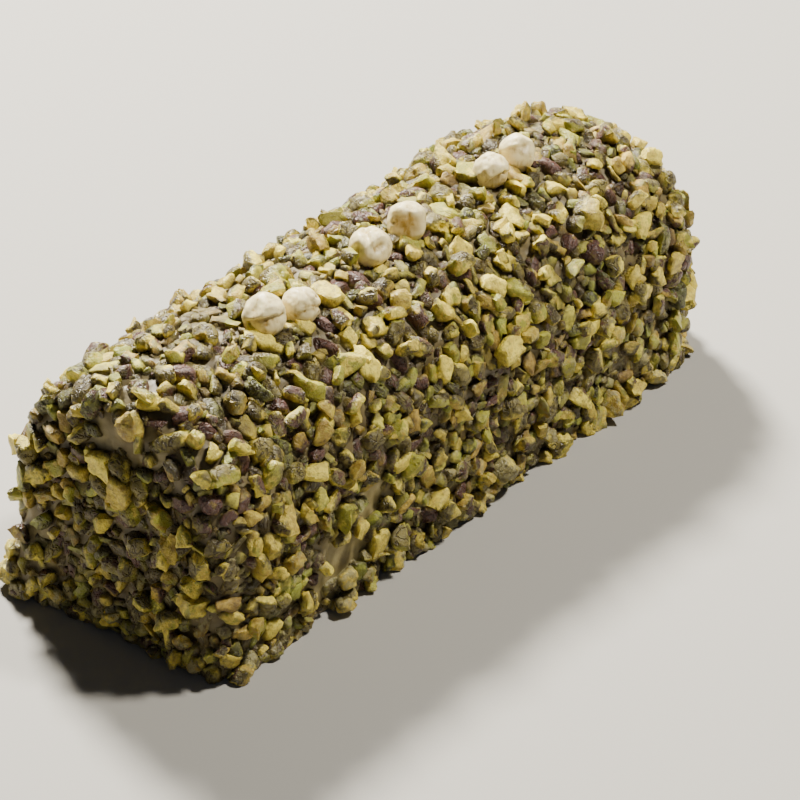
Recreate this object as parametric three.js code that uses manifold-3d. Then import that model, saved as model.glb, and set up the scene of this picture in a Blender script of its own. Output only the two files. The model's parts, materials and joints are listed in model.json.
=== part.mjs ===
// Ice cream log cake: a loaf of ice cream with an arched top under a coat of chopped pistachios,
// with six peeled hazelnuts in three pairs along its ridge.
// Millimetres, +Z up. X runs along the log, and the origin is the middle of its flat base.
import * as THREE from 'three';
import Module from 'manifold-3d';
import { mergeVertices } from 'three/addons/utils/BufferGeometryUtils.js';
import { ParametricGeometry } from 'three/addons/geometries/ParametricGeometry.js';
import { ImprovedNoise } from 'three/addons/math/ImprovedNoise.js';
import { MeshSurfaceSampler } from 'three/addons/math/MeshSurfaceSampler.js';

// Driving dimensions
const LOG_LENGTH = 290; // over the nuts, end to end
const LOG_WIDTH = 97.5; // over the nuts, side to side
const LOG_HEIGHT = 96; // over the nuts, at the ridge
const NUT_RELIEF = 4.3; // how far the tallest chopped nuts stand out of the cream
const SEED = 20;

// How each end rounds off: how deep its edge draws in, over what reach along the log. The end at +X
// has slumped: its top falls away early and its foot runs out.
const NEAR_END = { side: { depth: 8, reach: 8 }, top: { depth: 13, reach: 13 } };
const FAR_END = { side: { depth: 30, reach: 34 }, top: { depth: 33, reach: 60 } };
const FAR_LEAN = 5; // how far the foot of the +X end runs out beyond its upright place
const LEAN_HEIGHT = 60; // height at which that end is in its upright place

// The cream under the nuts
const DENT_DEPTH = 1; // uneven spreading of the cream, over some 30 mm
const DENT_SPAN = 31;
const CRUST_DEPTH = 3.4; // bumps of the small nuts that cover the cream between the larger ones
const CRUST_SPAN = 5.3;
const CRUST_PEAK = 0.3; // share of the bumps' depth to which they usually rise under a nut
const NUT_REACH = NUT_RELIEF + CRUST_PEAK * CRUST_DEPTH; // from the plain loaf form to the tallest nuts
const NEAR_FACE = -LOG_LENGTH / 2 + NUT_REACH;
const HALF_WIDTH = LOG_WIDTH / 2 - NUT_REACH;
const WALL_HEIGHT = LOG_HEIGHT - NUT_REACH - HALF_WIDTH; // where the walls pass into the round arch
const FOOT_TUCK = 1.4; // how far the walls draw in where they meet the base
const FOOT_HEIGHT = 14;
const FAR_FACE = LOG_LENGTH / 2 - NUT_REACH - FAR_LEAN * (1 - FOOT_HEIGHT / LEAN_HEIGHT);
const BELOW_BASE = 9; // the loft runs on below the base and is cut off flat there
const LENGTH_STEPS = 49;
const GIRTH_STEPS = 40;
const STEEPEST = 1000; // slope that stands for the end faces

// The chopped nuts
const NUT_COUNT = 212;
const NUT_LENGTHS = [7.2, 11.5];
const NUT_WIDTH_SHARES = [0.62, 0.82];
const NUT_DEPTH_SHARES = [0.5, 0.66];
const NUT_RELIEF_SHARES = [0.6, 1];
const NUT_LOOK = { color: 0xa6a35a, roughness: 0.72, metalness: 0 };
const NUT_TRIES = 30; // random places tried for each nut, of which it takes the roomiest
const NUT_TILT = 0.45; // most lean of a nut off the surface, in radians
const NUT_FLOOR_GAP = 2.8; // a nut's middle stays this far above the base
const NUT_ROOM = 0.9; // share of its length that a nut keeps clear of a hazelnut
const BLOCK_SHARE = 0.7; // this share of the nuts is chopped to blocks
const STUB_SHARE = 0.15; // this share to five-sided stubs, and the rest to round ends
const STUB_RADII = [0.42, 0.54];
const STUB_SIDES = 5;
const ROUND_END_RADIUS = 0.56;
const CORNER_SHARES = [0.78, 1.1]; // how far a nut's corners are moved in or out

// Patches where the cream shows: middle and radius
const BARE_PATCHES = [
  { at: [-141, -3, 77], radius: 10 },
  { at: [-140, -21, 79], radius: 7 },
  { at: [-141, 36, 25], radius: 8 },
  { at: [-81, -44, 20], radius: 12 },
  { at: [-67, -44, 29], radius: 6 },
];

// The hazelnuts: place along and across the log, size, the blunt tip and the way that it points, and
// the depth of a crease over the top of some, with its heading in radians.
const HAZELNUTS = [
  { x: -77.2, y: -7.9, width: 14.7, height: 13.8, tip: [-5, -2, 8.5], rise: 1.1, crease: 0.3, turn: 0.6 },
  { x: -62.9, y: -11.3, width: 12.9, height: 12.8, tip: [2, -3, 9], rise: 0.5, crease: 0.2, turn: 1.6 },
  { x: -19.9, y: -6.0, width: 14.2, height: 13.4, tip: [1, 5, 8.5], rise: 0.4, crease: 1.0, turn: 0.9 },
  { x: 0.4, y: -5.8, width: 13.6, height: 14.5, tip: [6, -8, 1], rise: 0.4, crease: 0, turn: 0 },
  { x: 48.2, y: -5.6, width: 12.5, height: 13.5, tip: [9, -2, 3], rise: 0.5, crease: 0, turn: 0 },
  { x: 63.5, y: -5.1, width: 12.9, height: 13.4, tip: [3, -3, 9.5], rise: 0.9, crease: 0, turn: 0 },
];
const HAZELNUT_SINK = 1; // depth to which a hazelnut is pressed into the cream
const HAZELNUT_GAP = 0.3; // room between a hazelnut and its seat
const HAZELNUT_SIDES = 14;
const HAZELNUT_RINGS = 10;
const TIP_TAPER = 6; // the higher, the narrower a hazelnut's tip
const CREASE_BREADTH = 0.3; // share of a hazelnut's radius
const HAZELNUT_LOOK = { color: 0xe2cfa6, roughness: 0.55, metalness: 0 };

const wasm = await Module();
wasm.setup();
const noise = new ImprovedNoise();

/** A repeatable source of random numbers from 0 to 1. */
function seededRandom(seed) {
  let state = seed >>> 0;
  return () => {
    state = (state + 0x6d2b79f5) >>> 0;
    let bits = Math.imul(state ^ (state >>> 15), 1 | state);
    bits = (bits + Math.imul(bits ^ (bits >>> 7), 61 | bits)) ^ bits;
    return ((bits ^ (bits >>> 14)) >>> 0) / 4294967296;
  };
}

const random = seededRandom(SEED);
const between = (low, high) => low + (high - low) * random();

/** The closed solid of a geometry, for joining and cutting. */
function toSolid(geometry) {
  const bare = geometry.clone();
  bare.deleteAttribute('normal');
  bare.deleteAttribute('uv');
  const merged = mergeVertices(bare, 1e-3);
  const corners = merged.index.array;
  const kept = [];
  for (let i = 0; i < corners.length; i += 3) {
    const [a, b, c] = [corners[i], corners[i + 1], corners[i + 2]];
    if (a !== b && b !== c && c !== a) kept.push(a, b, c);
  }
  return new wasm.Manifold(new wasm.Mesh({
    numProp: 3,
    vertProperties: new Float32Array(merged.attributes.position.array),
    triVerts: new Uint32Array(kept),
  }));
}

/** The geometry of a solid. */
function toGeometry(solid) {
  const { vertProperties, triVerts } = solid.getMesh();
  const geometry = new THREE.BufferGeometry();
  geometry.setAttribute('position', new THREE.BufferAttribute(vertProperties, 3));
  geometry.setIndex(new THREE.BufferAttribute(triVerts, 1));
  geometry.computeVertexNormals();
  return geometry;
}

/**
 * Where a share of the way from the middle of one end, over its edge and along the log, to the
 * middle of the other end lies: x, and how much of the section's breadth is left on an end face.
 */
function alongLog(share) {
  const quarter = Math.PI / 2;
  const nearFace = HALF_WIDTH - NEAR_END.side.depth;
  const farFace = HALF_WIDTH - FAR_END.side.depth;
  const nearEdge = NEAR_END.top.reach * quarter;
  const farEdge = Math.hypot(FAR_END.top.reach, FAR_END.top.depth);
  const straight = FAR_FACE - NEAR_FACE - NEAR_END.top.reach - FAR_END.top.reach;
  let way = share * (nearFace + nearEdge + straight + farEdge + farFace);
  if (way < nearFace) return { x: NEAR_FACE, left: way / nearFace };
  way -= nearFace;
  if (way < nearEdge) {
    return { x: NEAR_FACE + NEAR_END.top.reach * (1 - Math.cos(quarter * way / nearEdge)), left: 1 };
  }
  way -= nearEdge;
  if (way < straight) return { x: NEAR_FACE + NEAR_END.top.reach + way, left: 1 };
  way -= straight;
  if (way < farEdge) {
    return { x: FAR_FACE - FAR_END.top.reach * (1 - Math.sin(quarter * way / farEdge)), left: 1 };
  }
  return { x: FAR_FACE, left: Math.max(0, 1 - (way - farEdge) / farFace) };
}

/** How deep the ends' rounding draws an edge in at x, and the slope of it. */
function drawnIn(x, part) {
  const near = NEAR_END[part];
  const far = FAR_END[part];
  const ends = [
    { ...near, share: (NEAR_FACE + near.reach - x) / near.reach, way: -1 },
    { ...far, share: (x - FAR_FACE + far.reach) / far.reach, way: 1 },
  ];
  const sum = { depth: 0, slope: 0 };
  for (const { depth, reach, share, way } of ends) {
    const u = Math.min(1, Math.max(0, share));
    const rest = Math.sqrt(1 - u * u);
    sum.depth += depth * (1 - rest);
    sum.slope += way * Math.min(STEEPEST, (depth / reach) * u / Math.max(rest, 1 / STEEPEST));
  }
  return sum;
}

/**
 * Where a share of the way round the section lies, from under the middle up one side and down the
 * other, and the outward direction there.
 */
function roundSection(share, radius, rise) {
  const side = share < 0.5 ? -1 : 1;
  const arc = HALF_WIDTH * Math.PI / 2;
  const wall = WALL_HEIGHT + BELOW_BASE;
  const way = (1 - Math.abs(1 - 2 * share)) * (2 * arc + wall);
  if (way < arc) return archPlace(side, way / HALF_WIDTH - Math.PI / 2, radius, radius, -BELOW_BASE);
  if (way < arc + wall) return { y: side * radius, z: way - arc - BELOW_BASE, ny: side, nz: 0 };
  return archPlace(side, (way - arc - wall) / HALF_WIDTH, radius, rise, WALL_HEIGHT);
}

/** A place on an arch of the section, at an angle up from its level. */
function archPlace(side, angle, radius, rise, middleZ) {
  const [ny, nz] = [side * Math.cos(angle), Math.sin(angle)];
  return { y: radius * ny, z: middleZ + rise * nz, ny, nz };
}

/** The plain loaf's surface at shares of the way along and round it: a point and the way out. */
function loafPlace(along, round) {
  const { x, left } = alongLog(along);
  const side = drawnIn(x, 'side');
  const top = drawnIn(x, 'top');
  const { y, z, ny, nz } = roundSection(
    round, left * (HALF_WIDTH - side.depth), left * (HALF_WIDTH - top.depth));
  const out = new THREE.Vector3(ny * ny * side.slope + nz * nz * top.slope, ny, nz).normalize();
  if (left < 1) out.set(Math.sign(x), 0, 0);
  const intoEnd = Math.max(0, (x - FAR_FACE + FAR_END.top.reach) / FAR_END.top.reach);
  const lean = FAR_LEAN * intoEnd * (1 - Math.max(z, 0) / LEAN_HEIGHT);
  return { point: new THREE.Vector3(x + lean, y, z), out };
}

/** How far the cream's surface stands out of the plain loaf form at a point. */
function creamRelief({ x, y, z }) {
  const dent = DENT_DEPTH * noise.noise(x / DENT_SPAN, y / DENT_SPAN, z / DENT_SPAN);
  const crust = CRUST_DEPTH * noise.noise(x / CRUST_SPAN, y / CRUST_SPAN, z / CRUST_SPAN);
  const low = Math.max(0, 1 - Math.max(z, 0) / FOOT_HEIGHT);
  return dent + crust - FOOT_TUCK * low * low;
}

/** The loaf of cream, as a closed loft that is cut off flat at the base. */
function makeCream() {
  const loft = new ParametricGeometry((along, round, target) => {
    const { point, out } = loafPlace(along, round);
    target.copy(point).addScaledVector(out, creamRelief(point));
  }, LENGTH_STEPS, GIRTH_STEPS);
  return toSolid(loft).intersect(aboveBase());
}

/** The space above the base, as a block larger than the log. */
function aboveBase() {
  const block = new THREE.BoxGeometry(2 * LOG_LENGTH, 2 * LOG_WIDTH, 2 * LOG_HEIGHT);
  block.translate(0, 0, LOG_HEIGHT);
  return toSolid(block);
}

/** One chopped nut of unit size: a block, a slice or a round end, with its corners moved at random. */
function chopNut() {
  const kind = random();
  let piece = new THREE.IcosahedronGeometry(ROUND_END_RADIUS, 0);
  if (kind < BLOCK_SHARE) piece = new THREE.BoxGeometry(1, 1, 1);
  else if (kind < BLOCK_SHARE + STUB_SHARE) {
    piece = new THREE.CylinderGeometry(...STUB_RADII, 1, STUB_SIDES);
  }
  piece.deleteAttribute('normal');
  piece.deleteAttribute('uv');
  const merged = mergeVertices(piece, 1e-3);
  const places = merged.attributes.position;
  for (let i = 0; i < places.count; i += 1) {
    const corner = [places.getX(i), places.getY(i), places.getZ(i)];
    places.setXYZ(i, ...corner.map((v) => v * between(...CORNER_SHARES)));
  }
  return merged;
}

/** The turn that lays a nut's depth along the surface's normal, with a random heading and lean. */
function layOn(normal) {
  const up = new THREE.Vector3(0, 0, 1);
  const across = new THREE.Vector3(0, 1, 0);
  const upright = new THREE.Quaternion().setFromUnitVectors(up, normal);
  const heading = new THREE.Quaternion().setFromAxisAngle(up, between(0, 2 * Math.PI));
  const lean = new THREE.Quaternion().setFromAxisAngle(across, between(-NUT_TILT, NUT_TILT));
  return upright.multiply(heading).multiply(lean);
}

/** The sizes of the nuts, the largest first. */
function nutSizes() {
  const lengths = Array.from({ length: NUT_COUNT }, () => between(...NUT_LENGTHS));
  return lengths.sort((a, b) => b - a).map((length) => new THREE.Vector3(
    length, length * between(...NUT_WIDTH_SHARES), length * between(...NUT_DEPTH_SHARES)));
}

/** Whether a nut of a length may lie at a place, clear of the base, bare patches and hazelnuts. */
function isFree(place, length) {
  if (place.z < NUT_FLOOR_GAP) return false;
  const isBare = ({ at, radius }) => place.distanceTo(new THREE.Vector3(...at)) < radius;
  if (BARE_PATCHES.some(isBare)) return false;
  return HAZELNUTS.every((nut) =>
    place.distanceTo(hazelnutMiddle(nut)) > (nut.width + NUT_ROOM * length) / 2 + HAZELNUT_SINK);
}

/** Places for the nuts: each goes to the roomiest of some random places on the cream. */
function spreadNuts(cream) {
  const sampler = new MeshSurfaceSampler(new THREE.Mesh(cream)).setRandomGenerator(random).build();
  const laid = [];
  for (const size of nutSizes()) {
    let best = null;
    for (let attempt = 0; attempt < NUT_TRIES; attempt += 1) {
      const place = new THREE.Vector3();
      const normal = new THREE.Vector3();
      sampler.sample(place, normal);
      if (!isFree(place, size.x)) continue;
      const room = Math.min(LOG_LENGTH, ...laid.map((other) => place.distanceTo(other.place)));
      if (!best || room > best.room) best = { place, normal, size, room };
    }
    laid.push(best);
  }
  return laid;
}

/** One chopped nut, sunk into the cream until its highest corner stands out by its relief. */
function makeNut({ place, normal, size }) {
  const piece = chopNut();
  piece.applyMatrix4(new THREE.Matrix4().compose(place, layOn(normal), size));
  const corners = piece.attributes.position;
  const corner = new THREE.Vector3();
  let highest = 0;
  for (let i = 0; i < corners.count; i += 1) {
    highest = Math.max(highest, corner.fromBufferAttribute(corners, i).sub(place).dot(normal));
  }
  const sink = NUT_RELIEF * between(...NUT_RELIEF_SHARES) - highest;
  piece.translate(sink * normal.x, sink * normal.y, sink * normal.z);
  return toSolid(piece);
}

/** The middle of a hazelnut, pressed a little into the arch of the cream. */
function hazelnutMiddle({ x, y, height }) {
  const reach = HALF_WIDTH + height / 2 - HAZELNUT_SINK;
  return new THREE.Vector3(x, y, WALL_HEIGHT + Math.sqrt(reach * reach - y * y));
}

/** A peeled hazelnut: a ball with a blunt tip and, on some, a crease over the top. */
function hazelnutForm(nut, grown = 0) {
  const ball = new THREE.SphereGeometry(1, HAZELNUT_SIDES, HAZELNUT_RINGS);
  const places = ball.attributes.position;
  const tip = new THREE.Vector3(...nut.tip).normalize();
  const across = new THREE.Vector3(Math.cos(nut.turn), Math.sin(nut.turn), 0);
  const point = new THREE.Vector3();
  for (let i = 0; i < places.count; i += 1) {
    point.fromBufferAttribute(places, i);
    const toTip = Math.max(0, point.dot(tip));
    const inCrease = Math.exp(-((point.dot(across) / CREASE_BREADTH) ** 2)) * Math.max(0, point.z);
    const out = grown + nut.rise * toTip ** TIP_TAPER - nut.crease * inCrease;
    const [level, high] = [nut.width / 2 + out, nut.height / 2 + out];
    places.setXYZ(i, point.x * level, point.y * level, point.z * high);
  }
  ball.translate(...hazelnutMiddle(nut));
  return ball;
}

/** A named mesh with its own material. */
function namedMesh(name, geometry, look) {
  const mesh = new THREE.Mesh(geometry, new THREE.MeshStandardMaterial({ ...look, flatShading: true }));
  mesh.name = name;
  return mesh;
}

/** The cream with the nuts fused on and a seat cut for each hazelnut. */
function makeLog() {
  const cream = makeCream();
  let log = cream;
  for (const laid of spreadNuts(toGeometry(cream))) log = log.add(makeNut(laid));
  for (const nut of HAZELNUTS) log = log.subtract(toSolid(hazelnutForm(nut, HAZELNUT_GAP)));
  log = log.intersect(aboveBase());
  const bodies = log.decompose().sort((a, b) => b.volume() - a.volume());
  return namedMesh('log', toGeometry(bodies[0]), NUT_LOOK);
}

const cake = new THREE.Group();
cake.add(makeLog());
HAZELNUTS.forEach((nut, i) => {
  cake.add(namedMesh(`hazelnut_${i + 1}`, toGeometry(toSolid(hazelnutForm(nut))), HAZELNUT_LOOK));
});

export default cake;
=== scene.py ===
"""An ice cream log cake, dressed: cream under chopped pistachios, peeled hazelnuts on the ridge.

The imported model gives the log's size and each hazelnut's place. The cream is one closed loaf, the
pistachios are many chipped shapes laid over it by kind, and each hazelnut is formed on its own.
"""

import json
import logging
import math
from abc import ABC, abstractmethod
from dataclasses import dataclass, field
from enum import Enum

import bmesh
import bpy
import numpy as np
from mathutils import Matrix, Quaternion, Vector, noise
from mathutils.bvhtree import BVHTree
from mathutils.kdtree import KDTree

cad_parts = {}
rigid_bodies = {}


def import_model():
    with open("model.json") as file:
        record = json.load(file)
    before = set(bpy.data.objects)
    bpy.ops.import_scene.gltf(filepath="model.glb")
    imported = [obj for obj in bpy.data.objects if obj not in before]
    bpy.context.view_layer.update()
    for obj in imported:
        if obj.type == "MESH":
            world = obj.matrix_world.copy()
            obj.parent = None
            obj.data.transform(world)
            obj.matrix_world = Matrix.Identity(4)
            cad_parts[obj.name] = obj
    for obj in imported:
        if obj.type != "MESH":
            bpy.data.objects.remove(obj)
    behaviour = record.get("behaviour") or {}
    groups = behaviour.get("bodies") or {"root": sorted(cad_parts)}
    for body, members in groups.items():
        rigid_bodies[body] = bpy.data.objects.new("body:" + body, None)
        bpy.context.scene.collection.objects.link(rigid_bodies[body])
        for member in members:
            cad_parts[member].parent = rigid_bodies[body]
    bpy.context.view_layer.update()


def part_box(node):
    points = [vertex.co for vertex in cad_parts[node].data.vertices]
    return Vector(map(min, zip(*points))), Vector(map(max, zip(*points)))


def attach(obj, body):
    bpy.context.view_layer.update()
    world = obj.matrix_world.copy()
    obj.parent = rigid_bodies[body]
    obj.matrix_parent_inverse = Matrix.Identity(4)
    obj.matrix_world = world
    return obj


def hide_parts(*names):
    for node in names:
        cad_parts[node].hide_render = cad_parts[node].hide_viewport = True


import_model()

MM = 0.001
SEED = 11

# The photograph's camera: its axes, its place in metres, its lens and sensor in millimetres, and the
# picture's side in pixels.
RIGHT = Vector((0.61582, -0.78725, 0.03171))
FORWARD = Vector((0.67337, 0.50500, -0.53995))
UP = RIGHT.cross(FORWARD)
CAMERA = Vector((-0.8820, -0.6675, 0.7328))
LENS = 169.7
SENSOR = 36.0
PICTURE = 800

log = logging.getLogger("log_cake")


# ---------------------------------------------------------------- helpers


def linear(colour: str) -> tuple[float, float, float, float]:
    """Turns an sRGB hex colour into linear light.

    Args:
        colour: The colour as "#rrggbb".

    Returns:
        Red, green, blue and alpha, each from 0 to 1.
    """
    parts = [int(colour[i:i + 2], 16) / 255 for i in (1, 3, 5)]
    light = [c / 12.92 if c <= 0.04045 else ((c + 0.055) / 1.055) ** 2.4 for c in parts]
    return light[0], light[1], light[2], 1.0


def add_node(tree: bpy.types.NodeTree, kind: str, inputs: dict | None = None,
             **settings: object) -> bpy.types.Node:
    """Adds a node with its settings, values and links.

    Args:
        tree: The node tree that takes it.
        kind: The node's type name.
        inputs: Input names or numbers, each with a value, an output socket, or a node whose first
            output in use is linked.
        settings: The node's own properties.

    Returns:
        The new node.
    """
    node = tree.nodes.new(kind)
    for name, value in settings.items():
        setattr(node, name, value)
    for name, value in (inputs or {}).items():
        if isinstance(value, bpy.types.Node):
            value = next(socket for socket in value.outputs if socket.enabled)
        if isinstance(value, bpy.types.NodeSocket):
            tree.links.new(value, node.inputs[name])
        else:
            node.inputs[name].default_value = value
    return node


def mesh_object(name: str, mesh: bpy.types.Mesh) -> bpy.types.Object:
    """Adds an object to the scene.

    Args:
        name: The object's name.
        mesh: The mesh that it shows.

    Returns:
        The new object.
    """
    made = bpy.data.objects.new(name, mesh)
    bpy.context.scene.collection.objects.link(made)
    return made


def set_attribute(mesh: bpy.types.Mesh, name: str, values: np.ndarray, kind: str = "FLOAT") -> None:
    """Stores one value for each vertex.

    Args:
        mesh: The mesh.
        name: The attribute's name.
        values: The values, one row for each vertex.
        kind: FLOAT, INT or FLOAT_VECTOR.
    """
    layer = mesh.attributes.new(name, kind, "POINT")
    member = "vector" if kind == "FLOAT_VECTOR" else "value"
    layer.data.foreach_set(member, np.asarray(values).ravel())


def ring_quads(rings: int, around: int) -> list[list[int]]:
    """Lists the faces between closed rings of points.

    Args:
        rings: How many rings there are.
        around: How many points each has.

    Returns:
        The four point numbers of each face, facing outwards.
    """
    ids = np.arange(rings * around).reshape(rings, around)
    after = np.roll(ids, -1, axis=1)
    return np.stack([ids[:-1], ids[1:], after[1:], after[:-1]], axis=-1).reshape(-1, 4).tolist()


def place_tree(places: np.ndarray) -> KDTree:
    """Returns a tree that finds the nearest of some places."""
    tree = KDTree(len(places))
    for i, place in enumerate(places):
        tree.insert(place, i)
    tree.balance()
    return tree


def hand_over(piece: bpy.types.Object, node: str) -> None:
    """Makes a finished piece stand for a node of the frame.

    Args:
        piece: The finished piece.
        node: The node that it replaces.
    """
    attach(piece, "root")
    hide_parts(node)
    piece.data.calc_loop_triangles()
    log.info("%s: %d triangles", piece.name, len(piece.data.loop_triangles))


# ---------------------------------------------------------------- finishes


@dataclass(frozen=True)
class Patches:
    """Cloudy patches of a real size, as a number that changes from place to place.

    The noise from `low` to `high` is spread smoothly from `least` to `most`. The patches can be
    drawn out upwards, to `drawn` times their size.
    """

    size_mm: float
    detail: float = 3.0
    roughness: float = 0.55
    distortion: float = 0.0
    low: float = 0.3
    high: float = 0.7
    least: float = 0.0
    most: float = 1.0
    drawn: float = 1.0

    def noise(self, tree: bpy.types.NodeTree) -> bpy.types.Node:
        """Adds the plain noise, in the object's own space."""
        place = add_node(tree, "ShaderNodeTexCoord").outputs["Object"]
        drawn = add_node(tree, "ShaderNodeVectorMath", {0: place, 1: (1, 1, 1 / self.drawn)},
                         operation="MULTIPLY")
        return add_node(tree, "ShaderNodeTexNoise", {
            "Vector": drawn, "Scale": 1 / (self.size_mm * MM), "Detail": self.detail,
            "Roughness": self.roughness, "Distortion": self.distortion})

    def spread(self, tree: bpy.types.NodeTree) -> bpy.types.Node:
        """Adds the noise, spread from least to most."""
        return add_node(tree, "ShaderNodeMapRange", {
            "Value": self.noise(tree), "From Min": self.low, "From Max": self.high,
            "To Min": self.least, "To Max": self.most}, interpolation_type="SMOOTHSTEP")


@dataclass(frozen=True)
class Finish(ABC):
    """A food's surface: how rough it is, how far light passes into it, and how deep its relief is.

    The depths are in metres, and the light's colour is how far red, green and blue each go.
    """

    name: str
    roughness: float
    translucence: float
    light_depth: float
    light_colour: tuple[float, float, float]
    relief_strength: float
    relief_depth: float

    def material(self) -> bpy.types.Material:
        """Returns the finish as a material."""
        made = bpy.data.materials.new(self.name)
        made.use_nodes = True
        tree = made.node_tree
        tree.nodes.clear()
        bump = add_node(tree, "ShaderNodeBump", {
            "Strength": self.relief_strength, "Distance": self.relief_depth, "Height": self.relief(tree)})
        shader = add_node(tree, "ShaderNodeBsdfPrincipled", {
            "Base Color": self.colour(tree), "Normal": bump, "Roughness": self.roughness,
            "Subsurface Weight": self.translucence, "Subsurface Radius": self.light_colour,
            "Subsurface Scale": self.light_depth})
        add_node(tree, "ShaderNodeOutputMaterial", {"Surface": shader})
        return made

    @abstractmethod
    def colour(self, tree: bpy.types.NodeTree) -> bpy.types.Node:
        """Adds what colours the surface."""

    @abstractmethod
    def relief(self, tree: bpy.types.NodeTree) -> bpy.types.Node:
        """Adds the height of the surface's fine relief."""


@dataclass(frozen=True)
class CreamFinish(Finish):
    """Pistachio ice cream, spread with a palette knife and firm from the freezer.

    It is dull and pale, slightly mottled, and light passes a little way in. Between the nuts it is
    darkened by painted shade, with some grit.
    """

    name: str = "pistachio ice cream"
    roughness: float = 0.5
    translucence: float = 0.25
    light_depth: float = 2.0 * MM
    light_colour: tuple[float, float, float] = (1.0, 0.8, 0.45)
    relief_strength: float = 0.35
    relief_depth: float = 0.4 * MM
    pale: str = "#a39565"
    deep: str = "#7a6c43"
    # Painted shade between the nuts, with some grit.
    shade_and_grit: str = "#433520"
    mottle: Patches = Patches(9, 5, low=0.35, high=0.68)
    # Crystals of ice are finer than this grain, which is as coarse as it needs to be to show.
    grain: Patches = Patches(0.9, 4, 0.6)

    def colour(self, tree: bpy.types.NodeTree) -> bpy.types.Node:
        """Adds the mottled cream, darkened between the nuts by painted shade and some grit."""
        cream = add_node(tree, "ShaderNodeMix", {
            0: self.mottle.spread(tree), 6: linear(self.pale), 7: linear(self.deep)}, data_type="RGBA")
        # Painted shade and grit between the nuts.
        shade_and_grit = add_node(tree, "ShaderNodeAttribute", attribute_name="shade_and_grit").outputs["Fac"]
        return add_node(tree, "ShaderNodeMix", {0: shade_and_grit, 6: cream, 7: linear(self.shade_and_grit)},
                        data_type="RGBA")

    def relief(self, tree: bpy.types.NodeTree) -> bpy.types.Node:
        """Adds the grain of ice."""
        return self.grain.noise(tree)


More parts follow.
